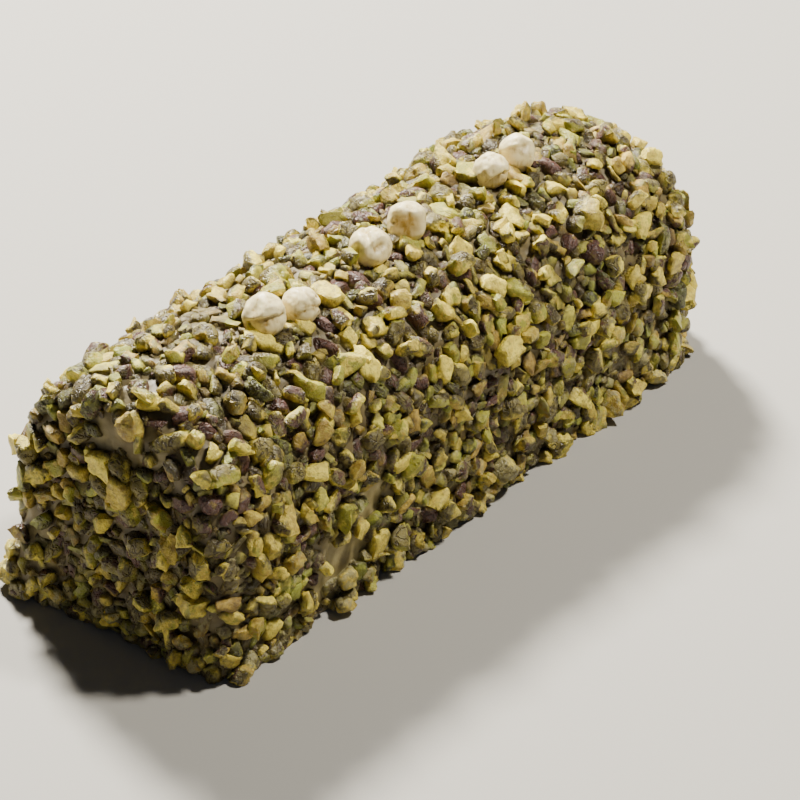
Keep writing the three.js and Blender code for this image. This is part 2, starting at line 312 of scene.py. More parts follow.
@dataclass(frozen=True)
class KernelFinish(Finish):
    """Chopped pistachio kernel: pale waxy flesh under an olive rind and papery skin.

    The cut flesh gleams softly. The rind is furrowed, and dull streaked scraps of skin cling to it. A
    nut is darker low down where it sits in the cream, partly moist and partly painted shade, and in
    the rind's folds as painted shade. The cream smears it. The low shade and moisture, and the wet,
    each hold the height over the cream where they begin to fade, the height where they end, and their
    strength.
    """

    roughness: float = 0.34
    translucence: float = 0.15
    light_depth: float = 1.0 * MM
    light_colour: tuple[float, float, float] = (1.0, 0.8, 0.3)
    relief_strength: float = 1.0
    relief_depth: float = 0.6 * MM
    flesh: tuple[str, str] = ("#fde860", "#a78a38")
    green: str = "#a3a235"
    green_share: float = 0.3
    rim: str = "#7d7634"
    outside: tuple[str, str] = ("#867a3f", "#4e4528")
    skin: tuple[str, str] = ("#6f4b3e", "#3f2b2a")
    skin_share: float = 0.2
    # The dark of stains, and of the painted shade low down and in the rind's folds.
    stain_and_shade: str = "#3f3022"
    cream: str = "#a59c6c"
    flesh_tones: Patches = Patches(2.4, least=-0.3, most=0.3)
    rind_tones: Patches = Patches(1.5, least=-0.3, most=0.3)
    greens: Patches = Patches(3.4, 2, least=-0.3, most=0.3)
    frayed: Patches = Patches(1.1, least=-0.2, most=0.35)
    stains: Patches = Patches(1.6, 5, 0.65, 0.4, low=0.52, high=0.72, most=0.6)
    torn: Patches = Patches(2.8, 4, 0.65, least=-0.35, most=0.35)
    streaks: Patches = Patches(0.8, 4, 0.6, 0.6, high=0.72)
    smears: Patches = Patches(2.2, 3, 0.6, least=-0.3, most=0.3)
    folds: Patches = Patches(3.6, 2, 0.5, 0.8)
    wrinkles: Patches = Patches(1.2, 4, 0.6, 1.0)
    # Broken flesh is finer than this grain, which is as coarse as it needs to be to show.
    crumble: Patches = Patches(0.6, 3, 0.6)
    # The painted shade low on each nut, with the moisture where it sits in the cream.
    shade_and_moisture: tuple[float, float, float] = (0.3 * MM, 3.4 * MM, 0.88)
    wet: tuple[float, float, float] = (0.1 * MM, 1.2 * MM, 0.4)
    fold_width: float = 0.05

    def colour(self, tree: bpy.types.NodeTree) -> bpy.types.Node:
        """Adds the layers of colour, from the flesh out to the cream that clings to it."""
        skin = add_node(tree, "ShaderNodeAttribute", attribute_name="skin").outputs["Fac"]
        frayed = add_node(tree, "ShaderNodeMath", {0: skin, 1: self.frayed.spread(tree)},
                          operation="ADD", use_clamp=True)
        near_rind = add_node(tree, "ShaderNodeMapRange", {
            "Value": frayed, "From Min": 0.1, "From Max": 0.6, "To Max": 0.75},
            interpolation_type="SMOOTHSTEP")
        on_rind = add_node(tree, "ShaderNodeMapRange", {
            "Value": frayed, "From Min": 0.55, "From Max": 0.95}, interpolation_type="SMOOTHSTEP")
        rind = self._toned(tree, self.rind_tones, self.outside)
        scraps = add_node(tree, "ShaderNodeMix", {
            0: self.streaks.spread(tree), 6: linear(self.skin[0]), 7: linear(self.skin[1])},
            data_type="RGBA")
        colour = self._toned(tree, self.flesh_tones, self.flesh)
        layers = (
            (self._share(tree, "greenness", self.greens, self.green_share, 0.15, 0.9), linear(self.green)),
            (near_rind, linear(self.rim)),
            (on_rind, rind),
            # Stains, and painted shade low down and in the rind's folds.
            (self._darkness(tree, on_rind), linear(self.stain_and_shade)),
            (self._skin_left(tree, on_rind), scraps),
            (self._smeared(tree), linear(self.cream)),
        )
        for share, over in layers:
            colour = add_node(tree, "ShaderNodeMix", {0: share, 6: colour, 7: over}, data_type="RGBA")
        return colour

    def relief(self, tree: bpy.types.NodeTree) -> bpy.types.Node:
        """Adds folds and wrinkles on the rind, and a crumbly grain on the cut faces."""
        skin = add_node(tree, "ShaderNodeAttribute", attribute_name="skin").outputs["Fac"]
        fine = add_node(tree, "ShaderNodeMix", {
            0: skin, 6: self.crumble.noise(tree), 7: self.wrinkles.noise(tree)}, data_type="RGBA")
        folds = add_node(tree, "ShaderNodeMath", {0: skin, 1: self._furrows(tree, 0.8)},
                         operation="MULTIPLY", use_clamp=True)
        return add_node(tree, "ShaderNodeMath", {0: fine, 1: folds}, operation="SUBTRACT")

    def _toned(self, tree: bpy.types.NodeTree, patches: Patches, tones: tuple[str, str]) -> bpy.types.Node:
        """Adds a colour between two tones, by the nut's own tone and by patches.

        Args:
            tree: The material's tree.
            patches: How the tone changes across the nut.
            tones: The pale tone and the dark one.

        Returns:
            The colour's node.
        """
        own = add_node(tree, "ShaderNodeAttribute", attribute_name="tone").outputs["Fac"]
        tone = add_node(tree, "ShaderNodeMath", {0: own, 1: patches.spread(tree)},
                        operation="ADD", use_clamp=True)
        return add_node(tree, "ShaderNodeMix", {0: tone, 6: linear(tones[0]), 7: linear(tones[1])},
                        data_type="RGBA")

    def _share(self, tree: bpy.types.NodeTree, name: str, patches: Patches, share: float,
               blur: float, most: float) -> bpy.types.Node:
        """Adds where a colour shows: throughout on some nuts, only in patches on others.

        Args:
            tree: The material's tree.
            name: The attribute that ranks the nuts from 0 to 1.
            patches: The patches.
            share: The share of the nuts that it shows on.
            blur: How softly it begins.
            most: How strong it gets.

        Returns:
            The node that gives its strength.
        """
        own = add_node(tree, "ShaderNodeAttribute", attribute_name=name).outputs["Fac"]
        ranked = add_node(tree, "ShaderNodeMath", {0: own, 1: patches.spread(tree)},
                          operation="ADD", use_clamp=True)
        return add_node(tree, "ShaderNodeMapRange", {
            "Value": ranked, "From Min": 1 - share - blur, "From Max": 1 - share + blur,
            "To Max": most}, interpolation_type="SMOOTHSTEP")

    def _low(self, tree: bpy.types.NodeTree, band: tuple[float, float, float]) -> bpy.types.Node:
        """Adds how low a point lies on its nut.

        Args:
            tree: The material's tree.
            band: The height where it begins to fade, the height where it ends, and its strength.

        Returns:
            The node that gives it.
        """
        lift = add_node(tree, "ShaderNodeAttribute", attribute_name="lift").outputs["Fac"]
        return add_node(tree, "ShaderNodeMapRange", {
            "Value": lift, "From Min": band[0], "From Max": band[1], "To Min": band[2], "To Max": 0.0},
            interpolation_type="SMOOTHSTEP")

    def _darkness(self, tree: bpy.types.NodeTree, on_rind: bpy.types.Node) -> bpy.types.Node:
        """Adds where the nut is dark: stains, painted shade and moisture low down, painted shade in the
        folds.
        """
        # Painted shade in the rind's folds.
        fold_shade = add_node(tree, "ShaderNodeMath", {0: on_rind, 1: self._furrows(tree, 0.85)},
                          operation="MULTIPLY", use_clamp=True)
        dark = self.stains.spread(tree)
        # Adds the painted shade low down, and in the folds.
        for other in (self._low(tree, self.shade_and_moisture), fold_shade):
            dark = add_node(tree, "ShaderNodeMath", {0: dark, 1: other}, operation="MAXIMUM", use_clamp=True)
        return dark

    def _skin_left(self, tree: bpy.types.NodeTree, on_rind: bpy.types.Node) -> bpy.types.Node:
        """Adds where papery skin still clings: in torn patches on the outside of some nuts."""
        worn = self._share(tree, "blush", self.torn, self.skin_share, 0.08, 0.92)
        return add_node(tree, "ShaderNodeMath", {0: worn, 1: on_rind}, operation="MULTIPLY", use_clamp=True)

    def _smeared(self, tree: bpy.types.NodeTree) -> bpy.types.Node:
        """Adds where cream clings: low on each nut, and higher on the smeared ones."""
        film = add_node(tree, "ShaderNodeAttribute", attribute_name="smear").outputs["Fac"]
        for more in (self._low(tree, self.wet), self.smears.spread(tree)):
            film = add_node(tree, "ShaderNodeMath", {0: film, 1: more}, operation="ADD", use_clamp=True)
        return add_node(tree, "ShaderNodeMapRange", {
            "Value": film, "From Min": 0.42, "From Max": 0.8, "To Max": 0.8},
            interpolation_type="SMOOTHSTEP")

    def _furrows(self, tree: bpy.types.NodeTree, most: float) -> bpy.types.Node:
        """Adds how deep in one of the rind's folds a point lies, up to most."""
        off = add_node(tree, "ShaderNodeMath", {0: self.folds.noise(tree), 1: 0.5}, operation="SUBTRACT")
        away = add_node(tree, "ShaderNodeMath", {0: off}, operation="ABSOLUTE")
        return add_node(tree, "ShaderNodeMapRange", {
            "Value": away, "From Max": self.fold_width, "To Min": most, "To Max": 0.0},
            interpolation_type="SMOOTHSTEP")


@dataclass(frozen=True)
class HazelnutFinish(Finish):
    """Peeled hazelnut after light toasting: satin ivory, tan at spots, and in creases and low down mostly as
    painted shade.
    """

    name: str = "peeled hazelnut"
    roughness: float = 0.42
    translucence: float = 0.15
    light_depth: float = 1.2 * MM
    light_colour: tuple[float, float, float] = (1.0, 0.8, 0.4)
    relief_strength: float = 0.2
    relief_depth: float = 0.3 * MM
    ivory: str = "#f6e6b0"
    # The tan of spots and streaks, and of the painted shade in creases and low down.
    toast_and_shade: str = "#a3843c"
    spots: Patches = Patches(3.0, 4, 0.6, low=0.5, high=0.72, most=0.5)
    streaks: Patches = Patches(1.6, 3, 0.5, low=0.52, high=0.78, most=0.55, drawn=4)
    wrinkles: Patches = Patches(1.3, 5, 0.6, 0.5)

    def colour(self, tree: bpy.types.NodeTree) -> bpy.types.Node:
        """Adds ivory, tanned by spots and streaks left by the brown skin, and mostly as painted shade in
        hollows and low down.
        """
        # Mostly painted shade: in the marks' hollows, under ledges and on the lower side.
        shade_and_toast_share = add_node(tree, "ShaderNodeAttribute", attribute_name="shade_and_toast_share").outputs["Fac"]
        shaded_and_toasted = add_node(tree, "ShaderNodeMapRange", {"Value": shade_and_toast_share, "From Min": 0.1, "From Max": 0.9},
                           interpolation_type="SMOOTHSTEP")
        for more in (self.spots.spread(tree), self.streaks.spread(tree)):
            shaded_and_toasted = add_node(tree, "ShaderNodeMath", {0: shaded_and_toasted, 1: more},
                               operation="ADD", use_clamp=True)
        return add_node(tree, "ShaderNodeMix", {0: shaded_and_toasted, 6: linear(self.ivory), 7: linear(self.toast_and_shade)},
                        data_type="RGBA")

    def relief(self, tree: bpy.types.NodeTree) -> bpy.types.Node:
        """Adds the peeled kernel's fine wrinkles."""
        return self.wrinkles.noise(tree)


@dataclass(frozen=True)
class FloorFinish:
    """Matt painted studio table, pale and without gloss."""

    name: str = "matt studio table"
    colour: str = "#a6a39d"
    roughness: float = 0.8

    def material(self) -> bpy.types.Material:
        """Returns the plain pale material."""
        made = bpy.data.materials.new(self.name)
        made.use_nodes = True
        shader = made.node_tree.nodes["Principled BSDF"]
        shader.inputs["Base Color"].default_value = linear(self.colour)
        shader.inputs["Roughness"].default_value = self.roughness
        return made


# ---------------------------------------------------------------- the loaf's form


class Face(Enum):
    """A side of the loaf that a bare patch lies on."""

    NEAR_END = "near end"
    LONG_SIDE = "long side"


@dataclass(frozen=True)
class BarePatch:
    """A place where the cream shows between the nuts."""

    face: Face
    across: float
    up: float
    radius: float

    def middle(self, loaf: "Loaf") -> np.ndarray:
        """Finds the patch's middle on a loaf's plain form.

        Args:
            loaf: The loaf. Across is a share of its half length or width, and up of its height.

        Returns:
            The middle, in metres.
        """
        if self.face is Face.LONG_SIDE:
            return np.array([self.across * loaf.far_face, -loaf.half_width, self.up * loaf.height])
        return np.array([loaf.near_face, self.across * loaf.half_width, self.up * loaf.height])


@dataclass(frozen=True)
class EndEdge:
    """How an end of the loaf rounds off: how deep its edge draws in, over what reach along the loaf."""

    side_depth: float
    side_reach: float
    top_depth: float
    top_reach: float


@dataclass
class Loaf:
    """The cream's form: upright walls under a round arch, and a far end that has slumped."""

    near_face: float
    far_face: float
    half_width: float
    height: float
    near_edge: EndEdge = EndEdge(side_depth=8 * MM, side_reach=8 * MM, top_depth=13 * MM, top_reach=13 * MM)
    far_edge: EndEdge = EndEdge(side_depth=30 * MM, side_reach=34 * MM, top_depth=33 * MM, top_reach=60 * MM)
    foot_tuck: float = 1.4 * MM
    foot_height: float = 14 * MM
    below: float = 9 * MM
    step: float = 1.15 * MM
    patches: tuple[BarePatch, ...] = (
        BarePatch(Face.NEAR_END, across=0.08, up=0.84, radius=6 * MM),
        BarePatch(Face.NEAR_END, across=-0.2, up=0.8, radius=5 * MM),
        BarePatch(Face.NEAR_END, across=-0.45, up=0.84, radius=4.5 * MM),
        BarePatch(Face.NEAR_END, across=0.84, up=0.3, radius=6 * MM),
        BarePatch(Face.NEAR_END, across=0.72, up=0.18, radius=4 * MM),
        BarePatch(Face.LONG_SIDE, across=-0.66, up=0.14, radius=9 * MM),
        BarePatch(Face.LONG_SIDE, across=-0.57, up=0.26, radius=12 * MM),
        BarePatch(Face.LONG_SIDE, across=-0.47, up=0.4, radius=8 * MM),
        BarePatch(Face.LONG_SIDE, across=-0.33, up=0.1, radius=6 * MM),
        BarePatch(Face.LONG_SIDE, across=0.3, up=0.3, radius=4 * MM),
    )
    patch_rags: float = 6 * MM
    lean: float = 5 * MM
    lean_height: float = 60 * MM
    steepest: float = 1000.0

    @classmethod
    def under_nuts(cls, node: str, beside: float, above: float) -> "Loaf":
        """Sizes the loaf to lie inside a node's box.

        Args:
            node: The node's name.
            beside: How deep the nuts are at the sides and ends.
            above: How deep they are on top.

        Returns:
            The loaf.
        """
        low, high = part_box(node)
        foot_out = cls.lean * (1 - cls.foot_height / cls.lean_height)
        return cls(low.x + beside, high.x - beside - foot_out, (high.y - low.y) / 2 - beside, high.z - above)

    @property
    def wall(self) -> float:
        """The height of the upright walls."""
        return self.height - self.half_width

    def lengthwise(self) -> tuple[np.ndarray, np.ndarray]:
        """Returns x and the share of the section's breadth, from one end's middle to the other's."""
        near, far = self.near_edge, self.far_edge
        rows = []
        for face, edge, way in ((self.near_face, near, 1), (self.far_face, far, -1)):
            left = np.linspace(0, 1, self._count(self.half_width - edge.side_depth), endpoint=False)
            bend = np.linspace(0, math.pi / 2, self._count(math.hypot(edge.top_reach, edge.top_depth)),
                               endpoint=False)
            rows.append(np.vstack([np.column_stack([np.full_like(left, face), left]),
                                   np.column_stack([face + way * edge.top_reach * (1 - np.cos(bend)),
                                                    np.ones_like(bend)])]))
        low, high = self.near_face + near.top_reach, self.far_face - far.top_reach
        straight = np.linspace(low, high, self._count(high - low))
        rows.insert(1, np.column_stack([straight, np.ones_like(straight)]))
        return tuple(np.vstack([rows[0], rows[1], rows[2][::-1]]).T)

    def girthwise(self) -> np.ndarray:
        """Returns rows of y and z directions and base height, round the section from below."""
        low = np.linspace(-math.pi / 2, 0, self._count(self.half_width * math.pi / 2), endpoint=False)
        walls = np.linspace(-self.below, self.wall, self._count(self.wall + self.below), endpoint=False)
        high = np.linspace(0, math.pi / 2, self._count(self.half_width * math.pi / 2))
        one_side = np.vstack([
            np.column_stack([np.cos(low), np.sin(low), np.full_like(low, -self.below)]),
            np.column_stack([np.ones_like(walls), np.zeros_like(walls), walls]),
            np.column_stack([np.cos(high), np.sin(high), np.full_like(high, self.wall)]),
        ])
        other = one_side[-2:0:-1] * np.array([-1, 1, 1])
        return np.vstack([one_side, other])

    def surface(self) -> tuple[np.ndarray, np.ndarray]:
        """Returns the plain form's points and outward directions, as rows of rings."""
        x, left = (row[:, None] for row in self.lengthwise())
        ny, nz, base = self.girthwise().T[:, None, :]
        side, side_slope = self._drawn_in(x, "side")
        top, top_slope = self._drawn_in(x, "top")
        radius = left * (self.half_width - side)
        rise = np.where(nz > 0, left * (self.half_width - top), radius)
        z = base + rise * nz
        into_end = np.clip((x - self.far_face) / self.far_edge.top_reach + 1, 0, 1)
        lean = self.lean * into_end * (1 - np.clip(z, 0, None) / self.lean_height)
        points = np.stack(np.broadcast_arrays(x + lean, radius * ny, z), axis=-1)
        along = np.where(left < 1, self.steepest * np.sign(x), ny ** 2 * side_slope + nz ** 2 * top_slope)
        out = np.stack(np.broadcast_arrays(along, ny, nz), axis=-1)
        return points, out / np.linalg.norm(out, axis=-1, keepdims=True)

    def patch_share(self, points: np.ndarray) -> np.ndarray:
        """Returns how far inside a bare patch each point lies, from 0 outside to 1 in the middle."""
        share = np.zeros(len(points))
        ragged = 0.35 * np.array([noise.noise(Vector(p) / self.patch_rags) for p in points])
        for patch in self.patches:
            away = np.linalg.norm(points - patch.middle(self), axis=1) / patch.radius
            share = np.maximum(share, np.clip(1.3 - away + ragged, 0, 1))
        return share

    def _drawn_in(self, x: np.ndarray, part: str) -> tuple[np.ndarray, np.ndarray]:
        """Works out how the ends' rounding draws an edge in.

        Args:
            x: Places along the loaf.
            part: "side" or "top".

        Returns:
            How deep it draws the edge in at each place, and the slope of that.
        """
        depth, slope = np.zeros_like(x), np.zeros_like(x)
        for edge, face, way in ((self.near_edge, self.near_face, -1), (self.far_edge, self.far_face, 1)):
            deep, reach = getattr(edge, f"{part}_depth"), getattr(edge, f"{part}_reach")
            share = np.clip(1 - way * (face - x) / reach, 0, 1)
            rest = np.sqrt(1 - share ** 2)
            depth += deep * (1 - rest)
            slope += way * deep / reach * share / np.maximum(rest, 1 / self.steepest)
        return depth, slope

    def _count(self, way: float) -> int:
        """Returns how many steps a way takes."""
        return max(2, round(way / self.step))


@dataclass
class CreamCoat:
    """The ice cream under the nuts, dented and streaked as a knife leaves it.

    At one foot of the near end it bulges out, by `bulge` within `bulge_reach`. Dents, lumps and ripples
    each have a depth and a size. The cream climbs the nuts by `climb`, within `climb_reach` of them.
    """

    loaf: Loaf
    bulge: float = 5.5 * MM
    bulge_reach: float = 15 * MM
    dent: float = 0.7 * MM
    lump: float = 0.7 * MM
    ripple: float = 0.3 * MM
    climb: float = 1.8 * MM
    climb_reach: float = 5.0 * MM
    bulge_height: float = 7 * MM
    bulge_across: float = 0.92
    dent_size: float = 31 * MM
    lump_size: float = 7 * MM
    ripple_size: tuple[float, float, float] = (2.2 * MM, 2.2 * MM, 9 * MM)
    climb_size: float = 4 * MM
    # How dark the painted shade and grit between the nuts get.
    shade_and_grit: float = 0.6
    finish: CreamFinish = CreamFinish()

    def relief(self, points: np.ndarray) -> np.ndarray:
        """Returns how far the cream stands out of the plain loaf at each point."""
        rows = [self._relief_at(Vector(p)) for p in points]
        low = np.clip(1 - np.clip(points[:, 2], 0, None) / self.loaf.foot_height, 0, 1)
        foot = np.array([self.loaf.near_face, self.bulge_across * self.loaf.half_width, self.bulge_height])
        away = np.linalg.norm(points - foot, axis=1) / self.bulge_reach
        return np.array(rows) - self.loaf.foot_tuck * low ** 2 + self.bulge * np.exp(-away ** 2)

    def _relief_at(self, place: Vector) -> float:
        """Returns the sum of the wide dents, the lumps and the knife's ripples at a place."""
        wide = self.dent * noise.noise(place / self.dent_size)
        lumps = self.lump * noise.noise(place / self.lump_size)
        ripple = self.ripple * noise.noise(Vector((p / size for p, size in zip(place, self.ripple_size))))
        return wide + lumps + ripple

    def spread(self) -> tuple[np.ndarray, np.ndarray]:
        """Returns the dented surface's points and outward directions, as rows of rings."""
        points, out = self.loaf.surface()
        relief = self.relief(points.reshape(-1, 3)).reshape(points.shape[:2])
        return points + out * relief[..., None], out

    def rise(self, points: np.ndarray, out: np.ndarray, nuts: np.ndarray) -> np.ndarray:
        """Draws the surface up round the nuts, as soft cream climbs what is pressed into it.

        Args:
            points: The dented surface, as rows of rings.
            out: Its outward directions.
            nuts: Where the nuts lie.

        Returns:
            The points of the risen surface, as rows of rings.
        """
        tree = place_tree(nuts)
        flat = points.reshape(-1, 3)
        away = np.array([tree.find(p)[2] for p in flat]) / self.climb_reach
        uneven = 0.6 + 0.8 * np.array([noise.noise(Vector(p) / self.climb_size) for p in flat])
        lift = self.climb * np.clip(1 - away, 0, 1) * np.clip(uneven, 0, 1.4)
        return points + out * lift.reshape(points.shape[:2])[..., None]

    def build(self, points: np.ndarray) -> bpy.types.Object:
        """Builds the closed mesh of the cream.

        Args:
            points: The risen surface, as rows of rings.

        Returns:
            The finished piece.
        """
        mesh = bpy.data.meshes.new("cream_coat")
        mesh.from_pydata(points.reshape(-1, 3).tolist(), [], ring_quads(*points.shape[:2]))
        shape = bmesh.new()
        shape.from_mesh(mesh)
        bmesh.ops.remove_doubles(shape, verts=shape.verts, dist=0.01 * MM)
        everything = shape.verts[:] + shape.edges[:] + shape.faces[:]
        bmesh.ops.bisect_plane(shape, geom=everything, plane_co=(0, 0, 0), plane_no=(0, 0, 1),
                               clear_inner=True)
        bmesh.ops.holes_fill(shape, edges=[e for e in shape.edges if e.is_boundary])
        bmesh.ops.recalc_face_normals(shape, faces=shape.faces)
        for face in shape.faces:
            face.smooth = face.normal.z > -0.9
        shape.to_mesh(mesh)
        shape.free()
        places = np.array([v.co for v in mesh.vertices])
        # Painted shade and grit between the nuts; none on the bare patches.
        set_attribute(mesh, "shade_and_grit", self.shade_and_grit * np.clip(1 - 2.2 * self.loaf.patch_share(places), 0, 1))
        mesh.materials.append(self.finish.material())
        return mesh_object("cream_coat", mesh)


# ---------------------------------------------------------------- chopped nuts


class Cut(Enum):
    """How a piece was chopped out of a pistachio kernel."""

    CHUNK = "chunk"
    HALF = "half kernel"
    SLICE = "slice across"
    FLAKE = "curved flake"
    SLIVER = "sliver"
    TIP = "kernel's tip"
    CRUMB = "crumb"


@dataclass(frozen=True)
class NutKind:
    """One kind of chopped nut: its form, its sizes in millimetres and how it lies.

    Width is a share of length and depth of width, each in a range. The net is how many faces lie
    along each side of the cube that a shape is made from. Sinks is how deep a nut sits in the cream,
    spacing how close it lies to others, on_wall the share of places that take it on the upright
    walls, upright how many of those stand on end, and raised how far it lies over the other nuts.
    """

    name: str
    cut: Cut
    finish: KernelFinish
    count: int
    lengths: tuple[float, float]
    width: tuple[float, float]
    depth: tuple[float, float]
    net: int
    shapes: int
    sinks: tuple[float, float] = (0.5, 1.6)
    tilt: float = 0.4
    spacing: float = 0.8
    on_wall: float = 0.8
    upright: float = 0.0
    raised: float = 0.0
    highest: float = math.inf


@dataclass(frozen=True)
class MarkedNut:
    """A nut that stands out in the photograph: its place there in pixels, and its size in millimetres.

    The heading is its length's direction in the picture, in degrees up from level. The tone runs
    from 0, pale, to 1, dark. A nut with any skin lies with its outside up, the others with a cut face.
    """

    x: float
    y: float
    length: float
    width: float
    heading: float
    tone: float
    green: float = 0.2
    skin: float = 0.0

    @property
    def heading_out(self) -> Vector:
        """The direction of its length in the picture's plane."""
        turn = math.radians(self.heading)
        return math.cos(turn) * RIGHT + math.sin(turn) * UP

    @property
    def sight(self) -> Vector:
        """The direction in which the camera sees it."""
        half = PICTURE / 2
        away = LENS / SENSOR * PICTURE
        return (away * FORWARD + (self.x - half) * RIGHT - (self.y - half) * UP).normalized()


@dataclass
class Chip:
    """One chipped shape, worked out as the space inside the kernel's outside and the knife's cuts.

    Its flats meet more sharply the higher `edges` is, and an edge past the angle `crease` stays crisp.
    The kernel that it was cut from is at least as large as `kernel`, by half its length and width.
    """

    kind: NutKind
    rng: np.random.Generator
    given: MarkedNut | None = None
    size: np.ndarray = field(default_factory=lambda: np.zeros(3))
    crease: float = math.radians(58)
    edges: tuple[float, float] = (6, 16)
    marked_edges: tuple[float, float] = (5, 9)
    kernel: tuple[float, float] = (8 * MM, 4.2 * MM)
    lobe_size: float = 3.4 * MM
    fold_size: float = 2.6 * MM

    def build(self, name: str) -> bpy.types.Object:
        """Builds the shape as a mesh round its own middle, with its length along X.

        Args:
            name: The object's name.

        Returns:
            The shape's object, outside the scene.
        """
        shape = bmesh.new()
        bmesh.ops.create_cube(shape, size=2)
        bmesh.ops.subdivide_edges(shape, edges=shape.edges[:], cuts=self.kind.net - 1, use_grid_fill=True)
        net = np.array([v.co for v in shape.verts])
        places, skin = self._places(net)
        for vert, place in zip(shape.verts, places):
            vert.co = Vector(place)
        for face in shape.faces:
            face.smooth = True
        mesh = bpy.data.meshes.new(name)
        shape.to_mesh(mesh)
        shape.free()
        mesh.set_sharp_from_angle(angle=self.crease)
        set_attribute(mesh, "skin", skin)
        return bpy.data.objects.new(name, mesh)

    def _places(self, net: np.ndarray) -> tuple[np.ndarray, np.ndarray]:
        """Returns the net's points moved out to the chip's surface, and how much of each is outside."""
        self.size = size = self._size()
        rays = net * size / 2
        rays /= np.linalg.norm(rays, axis=1, keepdims=True)
        outer = self._kernel_reach(rays, size)
        cuts = self._cut_reach(rays, size)
        sharp = self.rng.uniform(*(self.marked_edges if self.given else self.edges))
        pull = np.vstack([outer, cuts]) ** -sharp
        reach = pull.sum(axis=0) ** (-1 / sharp)
        skin = pull[0] / pull.sum(axis=0)
        places = rays * reach[:, None]
        places = self._bend(places, size)
        return self._roughen(places, size), skin

    def _size(self) -> np.ndarray:
        """Returns the chip's length, width and depth in metres."""
        length = self.rng.uniform(*self.kind.lengths)
        width = length * self.rng.uniform(*self.kind.width)
        if self.given:
            length, width = self.given.length, self.given.width
        depth = width * self.rng.uniform(*self.kind.depth)
        return np.array([length, width, depth]) * MM

    def _kernel_reach(self, rays: np.ndarray, size: np.ndarray) -> np.ndarray:
        """Returns how far each ray runs to the kernel's rounded outside."""
        cut = self.kind.cut
        if cut is Cut.SLICE:
            axes, middle = np.array([size[0] * 0.54, size[1] * 0.54, size[2] * 2.5]), np.zeros(3)
        elif cut in (Cut.HALF, Cut.TIP):
            axes, middle = size * np.array([0.55, 0.54, 0.98]), np.array([0, 0, -0.48 * size[2]])
        elif cut is Cut.CRUMB:
            axes, middle = size * 0.62, size * self.rng.uniform(-0.15, 0.15, 3)
        else:
            across = np.maximum(size[:2] * (0.95, 0.72), self.kernel)
            axes = np.array([*across, size[2] * 1.15])
            middle = np.array([0, self.rng.uniform(-0.12, 0.12) * size[1], size[2] / 2 - axes[2]])
        start, way = -middle / axes, rays / axes
        a = (way ** 2).sum(axis=1)
        b = way @ start
        return (-b + np.sqrt(np.maximum(b ** 2 - a * (start @ start - 1), 1e-12))) / a

    def _cut_reach(self, rays: np.ndarray, size: np.ndarray) -> np.ndarray:
        """Returns how far each ray runs to each flat that the knife or the kernel's split left."""
        flats = self._flats(size)
        reach = []
        for normal, away in flats:
            facing = rays @ normal
            reach.append(np.where(facing > 1e-3, away / np.maximum(facing, 1e-3), 1.0))
        if self.kind.net > 3:
            reach += [self._bite_reach(rays, size) for _ in range(self.rng.integers(0, 4))]
        return np.array(reach)

    def _bite_reach(self, rays: np.ndarray, size: np.ndarray) -> np.ndarray:
        """Returns how far each ray runs to a round hollow where flesh broke out of the chip."""
        way = self.rng.normal(size=3) * np.array([1, 1, 0.8])
        way /= np.linalg.norm(way)
        edge = np.linalg.norm(way * size / 2)
        round_off = edge * self.rng.uniform(0.35, 0.7)
        middle = way * (edge * self.rng.uniform(0.74, 0.9) + round_off)
        along = rays @ middle
        inside = round_off ** 2 - (middle @ middle - along ** 2)
        hit = (inside > 0) & (along > 0)
        return np.where(hit, along - np.sqrt(np.maximum(inside, 0)), 1.0)

    def _flats(self, size: np.ndarray) -> list[tuple[np.ndarray, float]]:
        """Returns the flats as outward directions and distances from the middle."""
        cut = self.kind.cut
        half = size / 2
        flats = [self._flat((0, 0, -1), half[2], 0.12)]
        if cut is Cut.HALF:
            if self.rng.random() < 0.6:
                flats.append(self._flat((1, 0, 0), half[0] * self.rng.uniform(0.55, 0.95), 0.5))
        elif cut is Cut.TIP:
            flats.append(self._flat((1, 0, 0), half[0] * self.rng.uniform(0.1, 0.5), 0.5))
        elif cut is Cut.SLICE:
            flats.append(self._flat((0, 0, 1), half[2], 0.2))
            flats.append(self._flat((0, -1, 0), half[1] * self.rng.uniform(0.15, 0.9), 0.3))
        else:
            for side in ((1, 0, 0), (-1, 0, 0), (0, 1, 0), (0, -1, 0)):
                away = half[0] if side[0] else half[1]
                flats.append(self._flat(side, away * self.rng.uniform(0.85, 1.0), 0.42))
        for _ in range(self.rng.integers(0, 3)):
            corner = self.rng.normal(size=3) * np.array([1, 1, 0.7])
            corner /= np.linalg.norm(corner)
            flats.append((corner, np.abs(corner * half).sum() * self.rng.uniform(0.6, 0.8)))
        return flats

    def _flat(self, direction: tuple[int, int, int], away: float, lean: float) -> tuple[np.ndarray, float]:
        """Makes a flat that faces about one way.

        Args:
            direction: The way that it faces.
            away: Its distance from the middle.
            lean: How far it may lean, in radians.

        Returns:
            Its outward direction and its distance.
        """
        normal = np.array(direction, float) + self.rng.uniform(-lean, lean, 3)
        return normal / np.linalg.norm(normal), away

